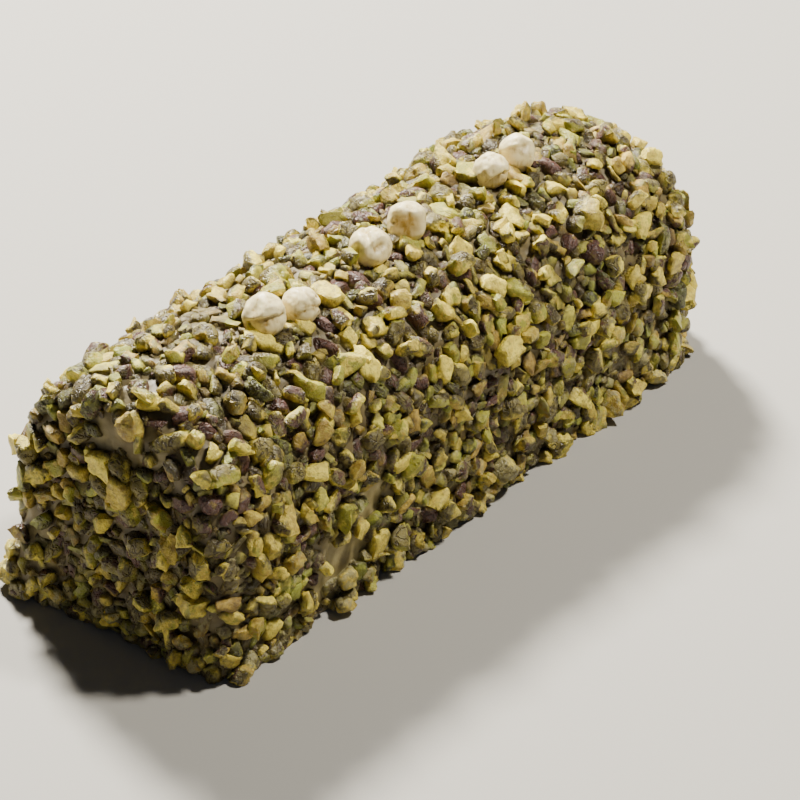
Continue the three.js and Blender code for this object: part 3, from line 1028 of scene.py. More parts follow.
    def _bend(self, places: np.ndarray, size: np.ndarray) -> np.ndarray:
        """Returns the places curled and twisted, most on the thin chips."""
        curls = {Cut.FLAKE: 0.34, Cut.SLIVER: 0.3, Cut.SLICE: 0.12, Cut.CHUNK: 0.1, Cut.HALF: 0.08}
        most = curls.get(self.kind.cut, 0.05)
        share = places / size
        along, across = self.rng.uniform(-most, most, 2)
        bent = places.copy()
        bent[:, 2] -= (along * share[:, 0] ** 2 + across * share[:, 1] ** 2) * size[1] * 1.6
        bent[:, 1] += self.rng.uniform(-most, most) * share[:, 0] ** 2 * size[0]
        twist = self.rng.uniform(-most, most) * 1.6 * share[:, 0]
        y, z = bent[:, 1].copy(), bent[:, 2].copy()
        bent[:, 1] = y * np.cos(twist) - z * np.sin(twist)
        bent[:, 2] = y * np.sin(twist) + z * np.cos(twist)
        return bent

    def _roughen(self, places: np.ndarray, size: np.ndarray) -> np.ndarray:
        """Returns the places moved into lobes and small wrinkles, as broken flesh is never flat."""
        seed = Vector(self.rng.uniform(-50, 50, 3))
        mean = float(size.mean())
        moved = []
        for place in places:
            lobes = noise.noise_vector(Vector(place) / self.lobe_size + seed)
            folds = 1 - 2 * abs(noise.noise(Vector(place) / self.fold_size - seed))
            moved.append(0.11 * mean * lobes - 0.2 * max(0.0, folds) ** 4 * Vector(place))
        return places + np.array(moved)


@dataclass
class Laid:
    """Nuts of one kind, laid: their places, outward directions and, of marked ones, the marks."""

    kind: NutKind
    places: np.ndarray
    normals: np.ndarray
    marked: tuple[MarkedNut, ...] = ()


@dataclass
class NutLayout:
    """Works out where each chopped nut lies: the largest first, the small ones in the gaps.

    A marked nut is sought where the camera's sight meets a surface `marked_lift` over the cream. Nuts
    keep `beside_hazelnut` of their reach away from each hazelnut, and the higher `bareness` is, the
    fewer of them lie on the bare patches.
    """

    cream: CreamCoat
    points: np.ndarray
    out: np.ndarray
    hazelnuts: list["Hazelnut"]
    rng: np.random.Generator
    candidates: int = 42000
    laid: list[Laid] = field(default_factory=list)
    marked_lift: float = 2.5 * MM
    beside_hazelnut: float = 0.95
    bareness: float = 1.6

    def samples(self) -> tuple[np.ndarray, np.ndarray]:
        """Returns random places on the cream, even by area, with their outward directions."""
        count = self.candidates
        corner = self.points[:-1]
        along = self.points[1:] - corner
        after = np.roll(self.points, -1, axis=1)[:-1] - corner
        area = np.linalg.norm(np.cross(along, after), axis=-1)
        area[corner[..., 2] < 0] = 0
        ids = self.rng.choice(area.size, count, p=(area / area.sum()).ravel())
        i, j = np.unravel_index(ids, area.shape)
        u, v = self.rng.random((2, count, 1))
        place = corner[i, j] + u * along[i, j] + v * after[i, j]
        return place, self.out[i, j]

    def mark(self, kind: NutKind, marked: tuple[MarkedNut, ...]) -> None:
        """Lays the marked nuts of one kind where the photograph shows them.

        Args:
            kind: Their kind.
            marked: The nuts.
        """
        quads = ring_quads(*self.points.shape[:2])
        out = self.out.reshape(-1, 3)
        over = self.points.reshape(-1, 3) + self.marked_lift * out
        surface = BVHTree.FromPolygons(over.tolist(), quads)
        places, normals = [], []
        for nut in marked:
            place, _, index, _ = surface.ray_cast(CAMERA, nut.sight)
            normals.append(out[quads[index][0]])
            places.append(np.array(place) - self.marked_lift * normals[-1])
        self.laid.append(Laid(kind, np.array(places), np.array(normals), marked))

    def lay(self, kind: NutKind) -> None:
        """Lays one kind where there is room.

        Args:
            kind: The kind of nut.
        """
        places, normals = self.samples()
        reach = self._reach(kind)
        free = self._wanted(kind, places, normals)
        for other in self.laid:
            if kind.raised == other.kind.raised:
                apart = kind.spacing * (reach + self._reach(other.kind))
                free &= self._clear_of(places, other.places, apart)
        for nut in self.hazelnuts:
            away = np.linalg.norm(places - np.array(nut.middle), axis=1)
            free &= away > nut.radius + self.beside_hazelnut * reach
        places, normals = places[free], normals[free]
        chosen = self._thin(places, 2 * kind.spacing * reach)[:kind.count]
        self.laid.append(Laid(kind, places[chosen], normals[chosen]))

    def _reach(self, kind: NutKind) -> float:
        """Returns half the usual breadth of a kind of nut."""
        length = sum(kind.lengths) / 2
        return length * (1 + sum(kind.width) / 2) / 4 * MM

    def _wanted(self, kind: NutKind, places: np.ndarray, normals: np.ndarray) -> np.ndarray:
        """Returns which places take this kind, by the bare patches and by how high they lie."""
        bare = self.cream.loaf.patch_share(places)
        keep = self.rng.random(len(places)) > self.bareness * bare
        keep &= places[:, 2] < kind.highest * MM
        up = np.clip(1.6 * normals[:, 2], 0, 1)
        return keep & (self.rng.random(len(places)) < up + (1 - up) * kind.on_wall)

    def _clear_of(self, places: np.ndarray, others: np.ndarray, away: float) -> np.ndarray:
        """Returns which places lie further than away from all of the others."""
        tree = place_tree(others)
        return np.array([tree.find(place)[2] > away for place in places])

    def _thin(self, places: np.ndarray, away: float) -> list[int]:
        """Returns places no closer than away to each other, in random order."""
        tree = place_tree(places)
        alive = np.ones(len(places), bool)
        chosen = []
        for i in range(len(places)):
            if not alive[i]:
                continue
            chosen.append(i)
            for _, near, _ in tree.find_range(places[i], away):
                alive[near] = False
        return chosen


@dataclass
class NutScatter:
    """Turns the laid nuts of one kind into one mesh, by a Geometry Nodes tree.

    Each nut is stretched at random, by up to `stretch` either way, and `edge_share` of them stand on
    their edges. Marked nuts have `marked_smear` of the cream that clings to the others. No nut reaches
    below `lowest`.
    """

    cream: bpy.types.Object
    loaf: Loaf
    rng: np.random.Generator
    stretch: float = 0.1
    edge_share: float = 0.3
    marked_smear: float = 0.4
    lowest: float = 0.02 * MM

    def build(self, laid: Laid) -> bpy.types.Object:
        """Builds one kind of nut.

        Args:
            laid: Where its nuts lie.

        Returns:
            The finished piece, as a plain mesh.
        """
        kind = laid.kind
        shapes = bpy.data.collections.new(f"{kind.name}_shapes")
        chips = [Chip(kind, self.rng, given) for given in laid.marked or [None] * kind.shapes]
        for i, chip in enumerate(chips):
            shapes.objects.link(chip.build(f"{kind.name}_shape_{i:03d}"))
        sizes = np.array([chip.size for chip in chips])
        holder = mesh_object(f"{kind.name}_places", self._place_mesh(laid, sizes))
        tree = self._tree(kind.name)
        modifier = holder.modifiers.new("scatter", "NODES")
        modifier.node_group = tree
        values = {"Shapes": shapes, "Cream": self.cream, "Stretch": self.stretch, "Seed": SEED,
                  "Finish": kind.finish.material()}
        for item in tree.interface.items_tree:
            if item.name in values:
                modifier[item.identifier] = values[item.name]
        graph = bpy.context.evaluated_depsgraph_get()
        mesh = bpy.data.meshes.new_from_object(holder.evaluated_get(graph))
        holder.modifiers.remove(modifier)
        for thing in [holder, *shapes.objects]:
            bpy.data.objects.remove(thing)
        bpy.data.collections.remove(shapes)
        mesh.name = kind.name
        self._rest_on_base(mesh)
        return mesh_object(kind.name, mesh)

    def _rest_on_base(self, mesh: bpy.types.Mesh) -> None:
        """Levels what would reach below the base, as the lowest nuts rest on what the log stands on."""
        places = np.empty(3 * len(mesh.vertices), np.float32)
        mesh.vertices.foreach_get("co", places)
        places[2::3] = np.maximum(places[2::3], self.lowest)
        mesh.vertices.foreach_set("co", places)

    def _place_mesh(self, laid: Laid, sizes: np.ndarray) -> bpy.types.Mesh:
        """Makes a mesh of one vertex for each nut, with what the tree reads at each.

        Args:
            laid: Where the nuts lie.
            sizes: The length, width and depth of each shape.

        Returns:
            The mesh.
        """
        kind, marked, count = laid.kind, laid.marked, len(laid.places)
        shape = np.arange(count) if marked else self.rng.integers(0, kind.shapes, count)
        on_edge = (self.rng.random(count) < self.edge_share) & (not marked)
        thick = np.where(on_edge, sizes[shape, 1], sizes[shape, 2])
        lifts = thick / 2 + (kind.raised - self.rng.uniform(*kind.sinks, count)) * MM
        turns = [self._turn(kind, n, edge) for n, edge in zip(laid.normals, on_edge)]
        tone, blush, green = self.rng.beta(1.5, 1.5, count), *self.rng.random((2, count))
        smear = self._smear(laid)
        if marked:
            turns = [self._marked_turn(nut, n) for nut, n in zip(marked, laid.normals)]
            tone, blush, green = np.array([(nut.tone, nut.skin, nut.green) for nut in marked]).T
            smear *= self.marked_smear
        places = laid.places + laid.normals * lifts[:, None]
        places[:, 2] = np.maximum(places[:, 2], 0.4 * sizes[shape, 1])
        mesh = bpy.data.meshes.new(f"{kind.name}_places")
        mesh.from_pydata(places.tolist(), [], [])
        set_attribute(mesh, "turn", np.array(turns), "FLOAT_VECTOR")
        set_attribute(mesh, "shape", shape.astype(np.int32), "INT")
        for label, values in (("tone", tone), ("blush", blush), ("greenness", green), ("smear", smear)):
            set_attribute(mesh, label, values)
        return mesh

    def _marked_turn(self, nut: MarkedNut, normal: np.ndarray) -> tuple[float, float, float]:
        """Works out the turn that lays a marked nut along its heading.

        Args:
            nut: The nut.
            normal: The way out of the cream there.

        Returns:
            The turn as Euler angles.
        """
        out = Vector(normal)
        along = (nut.heading_out - nut.heading_out.dot(out) * out).normalized()
        turn = Matrix((along, out.cross(along), out)).transposed().to_quaternion()
        flip = Quaternion((1, 0, 0), 0 if nut.skin else math.pi)
        return tuple((turn @ flip).to_euler())

    def _turn(self, kind: NutKind, normal: np.ndarray, on_edge: bool) -> tuple[float, float, float]:
        """Draws a turn for a nut.

        Args:
            kind: Its kind.
            normal: The way out of the cream there.
            on_edge: Whether it stands on its edge rather than lying flat.

        Returns:
            The turn as Euler angles.
        """
        rng = self.rng
        out = Vector(normal)
        side = rng.choice((-1, 1))
        quarter = math.pi / 2 if on_edge else (0 if side > 0 or rng.random() < 0.4 else math.pi)
        flip = Quaternion((1, 0, 0), side * quarter)
        level = Vector((0, 0, 1)).cross(out)
        heading = rng.uniform(-math.pi, math.pi)
        if level.length > 0.5 and rng.random() < kind.upright:
            heading = math.pi / 2 + rng.normal(0, 0.45)
        along = level.normalized() if level.length > 0.05 else Vector((1, 0, 0))
        frame_turn = Matrix((along, out.cross(along), out)).transposed().to_quaternion()
        spin = Quaternion((0, 0, 1), heading)
        about = rng.uniform(-math.pi, math.pi)
        lean = Quaternion((math.cos(about), math.sin(about), 0), rng.normal(0, kind.tilt))
        return tuple((frame_turn @ lean @ spin @ flip).to_euler())

    def _smear(self, laid: Laid) -> np.ndarray:
        """Returns how much cream clings to each nut: most low on the walls, least on the ridge."""
        low = np.clip(1 - laid.places[:, 2] / (0.75 * self.loaf.height), 0, 1)
        own = self.rng.normal(0, 0.16, len(low))
        return np.clip(0.08 + 0.34 * low + own, 0, 0.7)

    def _tree(self, name: str) -> bpy.types.NodeTree:
        """Returns the tree: shapes on places, turned, stretched, made real and dressed."""
        tree = bpy.data.node_groups.new(f"{name}_scatter", "GeometryNodeTree")
        for label, kind in (("Places", "NodeSocketGeometry"), ("Shapes", "NodeSocketCollection"),
                            ("Cream", "NodeSocketObject"), ("Stretch", "NodeSocketFloat"),
                            ("Seed", "NodeSocketInt"), ("Finish", "NodeSocketMaterial")):
            tree.interface.new_socket(label, in_out="INPUT", socket_type=kind)
        tree.interface.new_socket("Nuts", in_out="OUTPUT", socket_type="NodeSocketGeometry")
        given = add_node(tree, "NodeGroupInput").outputs
        shapes = add_node(tree, "GeometryNodeCollectionInfo", {
            "Collection": given["Shapes"], "Separate Children": True, "Reset Children": True})
        turn = add_node(tree, "GeometryNodeInputNamedAttribute", {"Name": "turn"}, data_type="FLOAT_VECTOR")
        shape = add_node(tree, "GeometryNodeInputNamedAttribute", {"Name": "shape"}, data_type="INT")
        nuts = add_node(tree, "GeometryNodeInstanceOnPoints", {
            "Points": given["Places"], "Instance": shapes, "Pick Instance": True, "Instance Index": shape,
            "Rotation": add_node(tree, "FunctionNodeEulerToRotation", {"Euler": turn})})
        least = add_node(tree, "ShaderNodeMath", {0: 1.0, 1: given["Stretch"]}, operation="SUBTRACT")
        most = add_node(tree, "ShaderNodeMath", {0: 1.0, 1: given["Stretch"]}, operation="ADD")
        stretch = add_node(tree, "FunctionNodeRandomValue", {0: least, 1: most, "Seed": given["Seed"]},
                           data_type="FLOAT_VECTOR")
        sized = add_node(tree, "GeometryNodeScaleInstances", {"Instances": nuts, "Scale": stretch})
        real = add_node(tree, "GeometryNodeRealizeInstances", {"Geometry": sized})
        cream = add_node(tree, "GeometryNodeObjectInfo", {"Object": given["Cream"]}).outputs["Geometry"]
        away = add_node(tree, "GeometryNodeProximity", {"Geometry": cream}, target_element="FACES")
        lifted = add_node(tree, "GeometryNodeStoreNamedAttribute", {
            "Geometry": real, "Name": "lift", "Value": away.outputs["Distance"]},
            data_type="FLOAT", domain="POINT")
        dressed = add_node(tree, "GeometryNodeSetMaterial", {
            "Geometry": lifted, "Material": given["Finish"]})
        add_node(tree, "NodeGroupOutput", {"Nuts": dressed})
        return tree


# ---------------------------------------------------------------- hazelnuts


def seen(across: float, up: float, edgewise: bool = False) -> Vector:
    """Works out a direction from a nut's middle, as the photograph shows the nut.

    Args:
        across: How far right of its middle, as a share of its radius.
        up: How far above its middle.
        edgewise: Whether the direction lies in the picture, as the normal of a line drawn on the nut.

    Returns:
        The direction, of length 1.
    """
    near = 0.0 if edgewise else math.sqrt(max(0.0, 1 - across ** 2 - up ** 2))
    return (across * RIGHT + up * UP - near * FORWARD).normalized()


class Mark(Enum):
    """A feature of a hazelnut's surface."""

    CREASE = "a groove along a plane"
    LEDGE = "a step up across a plane"
    DENT = "a hollow or a pit round a direction"


@dataclass(frozen=True)
class Feature:
    """A mark on a hazelnut: its direction, its depth in millimetres, its breadth and its offset.

    Breadth and offset are shares of the nut's radius. Creases and ledges fade away from the
    direction that they lie towards. The tan in a mark's hollow or under its ledge is mostly painted
    shade, with some toasting.
    """

    mark: Mark
    at: Vector
    depth: float
    breadth: float = 0.15
    offset: float = 0.0
    towards: Vector = -FORWARD
    # How tan the mark is: mostly painted shade, with some toasting.
    toast_and_shade: float = 0.4

    def cut(self, ray: Vector) -> tuple[float, float]:
        """Returns how deep the mark goes along a ray from the nut's middle, and how tan it is, mostly as
        painted shade.
        """
        if self.mark is Mark.DENT:
            share = math.exp(-((ray - self.at).length / self.breadth) ** 2)
            return self.depth * share, share * self.toast_and_shade
        wander = 0.1 * noise.noise(ray * 2.1 + self.at * 5)
        away = (ray.dot(self.at) - self.offset + wander) / self.breadth
        near = max(0.0, ray.dot(self.towards))
        if self.mark is Mark.LEDGE:
            under = (0.5 - 0.5 * math.tanh(3 * away)) * near
            fading = math.exp(-(max(0.0, -away - 1) * self.breadth / 0.6) ** 2)
            return self.depth * under * fading, self.toast_and_shade * under
        share = math.exp(-(away ** 2)) * near
        return self.depth * share, self.toast_and_shade * share


@dataclass
class Hazelnut:
    """One peeled hazelnut, formed round the middle of its node."""

    node: str
    tip: Vector
    tip_rise: float
    wrinkle: float
    features: tuple[Feature, ...] = ()
    squareness: float = 0.0
    furrows: int = 11
    steps: tuple[int, int] = (96, 64)

    def __post_init__(self) -> None:
        """Reads the node's box."""
        low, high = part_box(self.node)
        self.middle = (low + high) / 2
        self.half = (high - low) / 2
        self.radius = max(self.half)

    def build(self, finish: bpy.types.Material) -> bpy.types.Object:
        """Builds the hazelnut.

        Args:
            finish: Its material.

        Returns:
            The finished piece.
        """
        shape = bmesh.new()
        bmesh.ops.create_uvsphere(shape, u_segments=self.steps[0], v_segments=self.steps[1], radius=1)
        shade_and_toast_shares = []
        for vert in shape.verts:
            place, shade_and_toast_share = self._place(vert.co.normalized())
            vert.co = place
            shade_and_toast_shares.append(shade_and_toast_share)
        for face in shape.faces:
            face.smooth = True
        mesh = bpy.data.meshes.new(f"{self.node}_kernel")
        shape.to_mesh(mesh)
        shape.free()
        set_attribute(mesh, "shade_and_toast_share", np.array(shade_and_toast_shares))
        mesh.materials.append(finish)
        return mesh_object(f"{self.node}_kernel", mesh)

    def _place(self, ray: Vector) -> tuple[Vector, float]:
        """Returns where the surface lies along a ray, and how tan it is there, mostly as painted shade."""
        seed = self.middle * 400
        out = self.tip_rise * max(0.0, ray.dot(self.tip)) ** 9 - self._wrinkles(ray, seed)
        # Painted shade: tan on the lower side.
        shade_and_toast_share = 0.35 * max(0.0, 0.5 - ray.z)
        for feature in self.features:
            depth, toast_and_shade = feature.cut(ray)
            out -= depth
            shade_and_toast_share = max(shade_and_toast_share, toast_and_shade)
        out += 0.6 * noise.noise(ray * 1.5 + seed) + 0.2 * noise.noise(ray * 4 + seed)
        out += self.squareness * (1 - sum(c ** 4 for c in ray)) * 2
        scale = Vector((h + out * MM for h in self.half))
        return self.middle + Vector((ray.x * scale.x, ray.y * scale.y, ray.z * scale.z)), shade_and_toast_share

    def _wrinkles(self, ray: Vector, seed: Vector) -> float:
        """Returns the depth in mm of the shallow furrows that run from the nut's base to its tip."""
        side = self.tip.orthogonal().normalized()
        turn = math.atan2(ray.dot(self.tip.cross(side)), ray.dot(side))
        uneven = noise.noise(ray * 1.3 + seed)
        furrow = (0.5 + 0.5 * math.cos(self.furrows * turn + 4 * uneven)) ** 2
        ends = 1 - ray.dot(self.tip) ** 2
        return self.wrinkle * furrow * (0.3 + 0.7 * ends) * (0.6 + uneven)


# ---------------------------------------------------------------- studio


@dataclass(frozen=True)
class SoftLight:
    """A soft square light, with its place and side in metres and its power in watts."""

    name: str
    place: tuple[float, float, float]
    side: float
    power: float
    colour: str
    aim: tuple[float, float, float] = (0, 0, 0.05)

    def build(self) -> None:
        """Hangs the light, facing the cake."""
        light = bpy.data.lights.new(self.name, "AREA")
        light.size = self.side
        light.energy = self.power
        light.color = linear(self.colour)[:3]
        made = bpy.data.objects.new(self.name, light)
        made.location = self.place
        made.rotation_euler = (Vector(self.aim) - Vector(self.place)).to_track_quat("-Z", "Y").to_euler()
        bpy.context.scene.collection.objects.link(made)


@dataclass
class Studio:
    """Floor, lights and a camera where the photograph's camera stood."""

    lights: tuple[SoftLight, ...] = (
        SoftLight("key", place=(0.5, 1.0, 1.2), side=0.25, power=126.0, colour="#fffaee"),
        SoftLight("overhead", place=(0.5, -0.55, 1.45), side=0.15, power=34.0, colour="#fffaee"),
        SoftLight("fill", place=(-1.2, -1.2, 1.0), side=1.6, power=1.4, colour="#cfdcff"),
    )
    sky: str = "#e0e8ff"
    sky_strength: float = 0.04
    floor_reach: float = 4.0
    floor: FloorFinish = FloorFinish()

    def build(self) -> None:
        """Builds the floor, the lights and the camera."""
        self._floor()
        for light in self.lights:
            light.build()
        self._sky()
        self._camera()

    def _floor(self) -> None:
        """Lays a plain pale floor under the cake."""
        mesh = bpy.data.meshes.new("floor")
        reach = self.floor_reach
        corners = [(-reach, -reach, 0), (reach, -reach, 0), (reach, reach, 0), (-reach, reach, 0)]
        mesh.from_pydata(corners, [], [(0, 1, 2, 3)])
        mesh.materials.append(self.floor.material())
        mesh_object("floor", mesh)

    def _sky(self) -> None:
        """Adds a faint cool light from all round."""
        world = bpy.data.worlds.new("studio")
        bpy.context.scene.world = world
        world.use_nodes = True
        back = world.node_tree.nodes["Background"]
        back.inputs["Color"].default_value = linear(self.sky)
        back.inputs["Strength"].default_value = self.sky_strength

    def _camera(self) -> None:
        """Sets the camera at the photograph's viewing angle."""
        camera = bpy.data.cameras.new("camera")
        camera.lens = LENS
        camera.sensor_width = SENSOR
        camera.clip_end = 20
        made = bpy.data.objects.new("camera", camera)
        axes = Matrix((RIGHT, UP, -FORWARD)).transposed()
        made.matrix_world = Matrix.Translation(CAMERA) @ axes.to_4x4()
        bpy.context.scene.collection.objects.link(made)
        bpy.context.scene.camera = made


# ---------------------------------------------------------------- the cake

PLAIN = KernelFinish("pistachio kernel, peeled", green_share=0.25, skin_share=0.1)
GREEN = KernelFinish("pistachio kernel, green", flesh=("#f2e65c", "#978e3a"), green="#949a36",
                     green_share=0.45, rim="#737932", outside=("#7c7b3c", "#484826"), skin_share=0.08)
OLIVE = KernelFinish("pistachio kernel, olive", flesh=("#f1da58", "#917634"), green="#8f8b36",
                     green_share=0.35, rim="#706930", outside=("#776c38", "#453c24"), skin_share=0.25)
SKINNED = KernelFinish("pistachio kernel in its skin", flesh=("#e3c153", "#7f6532"), green="#847e36",
                       green_share=0.25, rim="#6b5a31", outside=("#6b563d", "#40322b"), skin_share=0.8)

MARKED_PLAIN = NutKind("pistachio_marked", Cut.CHUNK, PLAIN, count=0, lengths=(8, 12), width=(0.6, 0.8),
                       depth=(0.7, 0.9), net=6, shapes=0)
MARKED_SKINNED = NutKind("pistachio_marked_skinned", Cut.HALF, SKINNED, count=0, lengths=(8, 12),
                         width=(0.6, 0.8), depth=(0.75, 0.95), net=6, shapes=0)

PLAIN_NUTS = (
    MarkedNut(x=443, y=212, length=12, width=6.5, heading=-50, tone=0.1, green=1.0),
    MarkedNut(x=427, y=255, length=9.5, width=7, heading=-15, tone=0.5, green=0.5, skin=0.1),
    MarkedNut(x=386, y=270, length=11, width=5.5, heading=-10, tone=0.0),
    MarkedNut(x=326, y=269, length=7, width=6, heading=80, tone=0.3),
    MarkedNut(x=328, y=297, length=11, width=7.5, heading=-55, tone=0.25),
    MarkedNut(x=343, y=315, length=8.5, width=6, heading=-55, tone=0.3),
    MarkedNut(x=305, y=328, length=8, width=7.5, heading=0, tone=0.3),
    MarkedNut(x=264, y=342, length=12.5, width=7.5, heading=-35, tone=0.1),
    MarkedNut(x=349, y=339, length=8.5, width=6.5, heading=-60, tone=0.2),
    MarkedNut(x=377, y=327, length=9, width=7.5, heading=30, tone=0.15),
    MarkedNut(x=369, y=368, length=9, width=7.5, heading=60, tone=0.1),
    MarkedNut(x=451, y=298, length=8.5, width=6.5, heading=20, tone=0.2, green=0.6),
    MarkedNut(x=473, y=177, length=12, width=8, heading=-20, tone=0.2, green=0.9),
    MarkedNut(x=511, y=217, length=11.5, width=8, heading=-15, tone=0.1),
    MarkedNut(x=633, y=279, length=11, width=7.5, heading=-25, tone=0.4),
    MarkedNut(x=676, y=201, length=8.5, width=7.5, heading=20, tone=0.4, green=0.5, skin=0.1),
    MarkedNut(x=503, y=262, length=8.5, width=7, heading=-15, tone=0.15),
    MarkedNut(x=494, y=287, length=11, width=8, heading=-20, tone=0.3),
    MarkedNut(x=553, y=277, length=7.5, width=5, heading=25, tone=0.0, green=0.7),
    MarkedNut(x=148, y=403, length=10, width=6, heading=-5, tone=0.0),
    MarkedNut(x=171, y=442, length=10.5, width=6.5, heading=10, tone=0.2, green=0.8, skin=0.1),
    MarkedNut(x=122, y=470, length=11, width=8, heading=-45, tone=0.3, green=0.5, skin=0.1),
    MarkedNut(x=102, y=488, length=11, width=6, heading=-50, tone=0.3, green=0.6, skin=0.1),
    MarkedNut(x=214, y=454, length=7.5, width=6, heading=60, tone=0.1),
    MarkedNut(x=249, y=430, length=9.5, width=5, heading=-50, tone=0.5),
    MarkedNut(x=296, y=473, length=9, width=7, heading=10, tone=0.2, green=0.6, skin=0.1),
)

SKINNED_NUTS = (
    MarkedNut(x=398, y=256, length=6.5, width=5, heading=-20, tone=0.8, skin=1.0),
    MarkedNut(x=356, y=279, length=11, width=7, heading=-40, tone=0.4, skin=0.8),
    MarkedNut(x=340, y=285, length=7.5, width=6, heading=20, tone=0.8, skin=1.0),
    MarkedNut(x=310, y=268, length=9, width=5, heading=90, tone=0.6, skin=1.0),
    MarkedNut(x=327, y=322, length=8, width=6, heading=-60, tone=0.4, skin=1.0),
    MarkedNut(x=330, y=346, length=10.5, width=6, heading=-25, tone=0.6, skin=0.95),
    MarkedNut(x=402, y=360, length=12, width=5, heading=-45, tone=1.0, skin=1.0),
    MarkedNut(x=373, y=300, length=8, width=7, heading=0, tone=0.5, skin=0.6),
    MarkedNut(x=594, y=252, length=12, width=8.5, heading=-50, tone=0.9, skin=1.0),
    MarkedNut(x=571, y=242, length=8, width=6.5, heading=60, tone=0.6, skin=0.7),
    MarkedNut(x=635, y=248, length=6.5, width=4, heading=75, tone=0.3, skin=1.0),
    MarkedNut(x=600, y=175, length=7.5, width=5, heading=-10, tone=0.3, skin=1.0),
    MarkedNut(x=680, y=262, length=10, width=8, heading=60, tone=0.9, skin=1.0),
    MarkedNut(x=576, y=124, length=8, width=5, heading=-5, tone=0.4, skin=0.9),
    MarkedNut(x=546, y=164, length=12, width=6.5, heading=-15, tone=0.4, skin=0.7),
    MarkedNut(x=152, y=423, length=9, width=4.5, heading=-10, tone=0.3, skin=1.0),
    MarkedNut(x=280, y=408, length=9, width=7, heading=-60, tone=0.4, skin=0.9),
    MarkedNut(x=187, y=416, length=10, width=7, heading=20, tone=0.3, skin=0.6),
    MarkedNut(x=209, y=429, length=10, width=5, heading=-10, tone=0.8, skin=1.0),
    MarkedNut(x=210, y=504, length=9, width=8, heading=-40, tone=0.8, skin=1.0),
    MarkedNut(x=318, y=455, length=7, width=6, heading=30, tone=0.5, skin=1.0),
)

NUT_KINDS = (
    NutKind("pistachio_halves", Cut.HALF, GREEN, count=60, lengths=(9.5, 12.5), width=(0.56, 0.68),
            depth=(0.55, 0.7), net=6, shapes=12, on_wall=0.4),
    NutKind("pistachio_skinned", Cut.CHUNK, SKINNED, count=240, lengths=(6.5, 10.5), width=(0.55, 0.8),
            depth=(0.65, 0.9), net=5, shapes=24, spacing=0.85),
    NutKind("pistachio_tips", Cut.TIP, OLIVE, count=160, lengths=(7, 10.5), width=(0.6, 0.8),
            depth=(0.75, 1.0), net=5, shapes=16, tilt=0.6),
    NutKind("pistachio_chunks", Cut.CHUNK, PLAIN, count=640, lengths=(6.2, 10.4), width=(0.62, 0.92),
            depth=(0.65, 1.0), net=5, shapes=40, tilt=0.5),
    NutKind("pistachio_flakes", Cut.FLAKE, OLIVE, count=220, lengths=(7, 11), width=(0.5, 0.72),
            depth=(0.3, 0.45), net=5, shapes=24, sinks=(0.2, 1.0), tilt=0.7, spacing=0.68, on_wall=1.0,
            upright=0.6),
    NutKind("pistachio_slices", Cut.SLICE, GREEN, count=150, lengths=(5.5, 8), width=(0.75, 0.95),
            depth=(0.4, 0.6), net=5, shapes=16, tilt=0.6, spacing=0.72),
    NutKind("pistachio_bits", Cut.CHUNK, GREEN, count=700, lengths=(4, 6.8), width=(0.62, 0.92),
            depth=(0.65, 1.0), net=4, shapes=32, sinks=(0.3, 1.3), tilt=0.5, spacing=0.66),
    NutKind("pistachio_slivers", Cut.SLIVER, PLAIN, count=240, lengths=(5.5, 9), width=(0.28, 0.42),
            depth=(0.6, 0.9), net=4, shapes=20, sinks=(0.0, 0.9), tilt=0.5, spacing=0.5, on_wall=1.0,
            upright=0.7),
    NutKind("pistachio_small", Cut.CHUNK, OLIVE, count=800, lengths=(3.2, 4.8), width=(0.6, 0.95),
            depth=(0.65, 1.0), net=3, shapes=32, sinks=(-0.3, 0.7), tilt=0.6, spacing=0.46),
    NutKind("pistachio_grit", Cut.CRUMB, SKINNED, count=1200, lengths=(1.7, 3.2), width=(0.6, 0.95),
            depth=(0.6, 0.9), net=2, shapes=40, sinks=(-0.4, 0.4), tilt=0.8, spacing=0.42),
    NutKind("pistachio_loose", Cut.CHUNK, PLAIN, count=330, lengths=(5, 9), width=(0.6, 0.9),
            depth=(0.6, 0.95), net=5, shapes=24, sinks=(0.0, 1.0), tilt=0.7, spacing=1.3, on_wall=0.5,
            raised=2.4),
    NutKind("pistachio_foot", Cut.CHUNK, OLIVE, count=90, lengths=(4, 8), width=(0.6, 0.9),
            depth=(0.6, 0.95), net=4, shapes=16, sinks=(0.0, 2.0), tilt=0.8, spacing=0.8, on_wall=1.0,
            raised=2.0, highest=7.0),
)

NUTS_BESIDE = 5.2 * MM
NUTS_ABOVE = 4.0 * MM


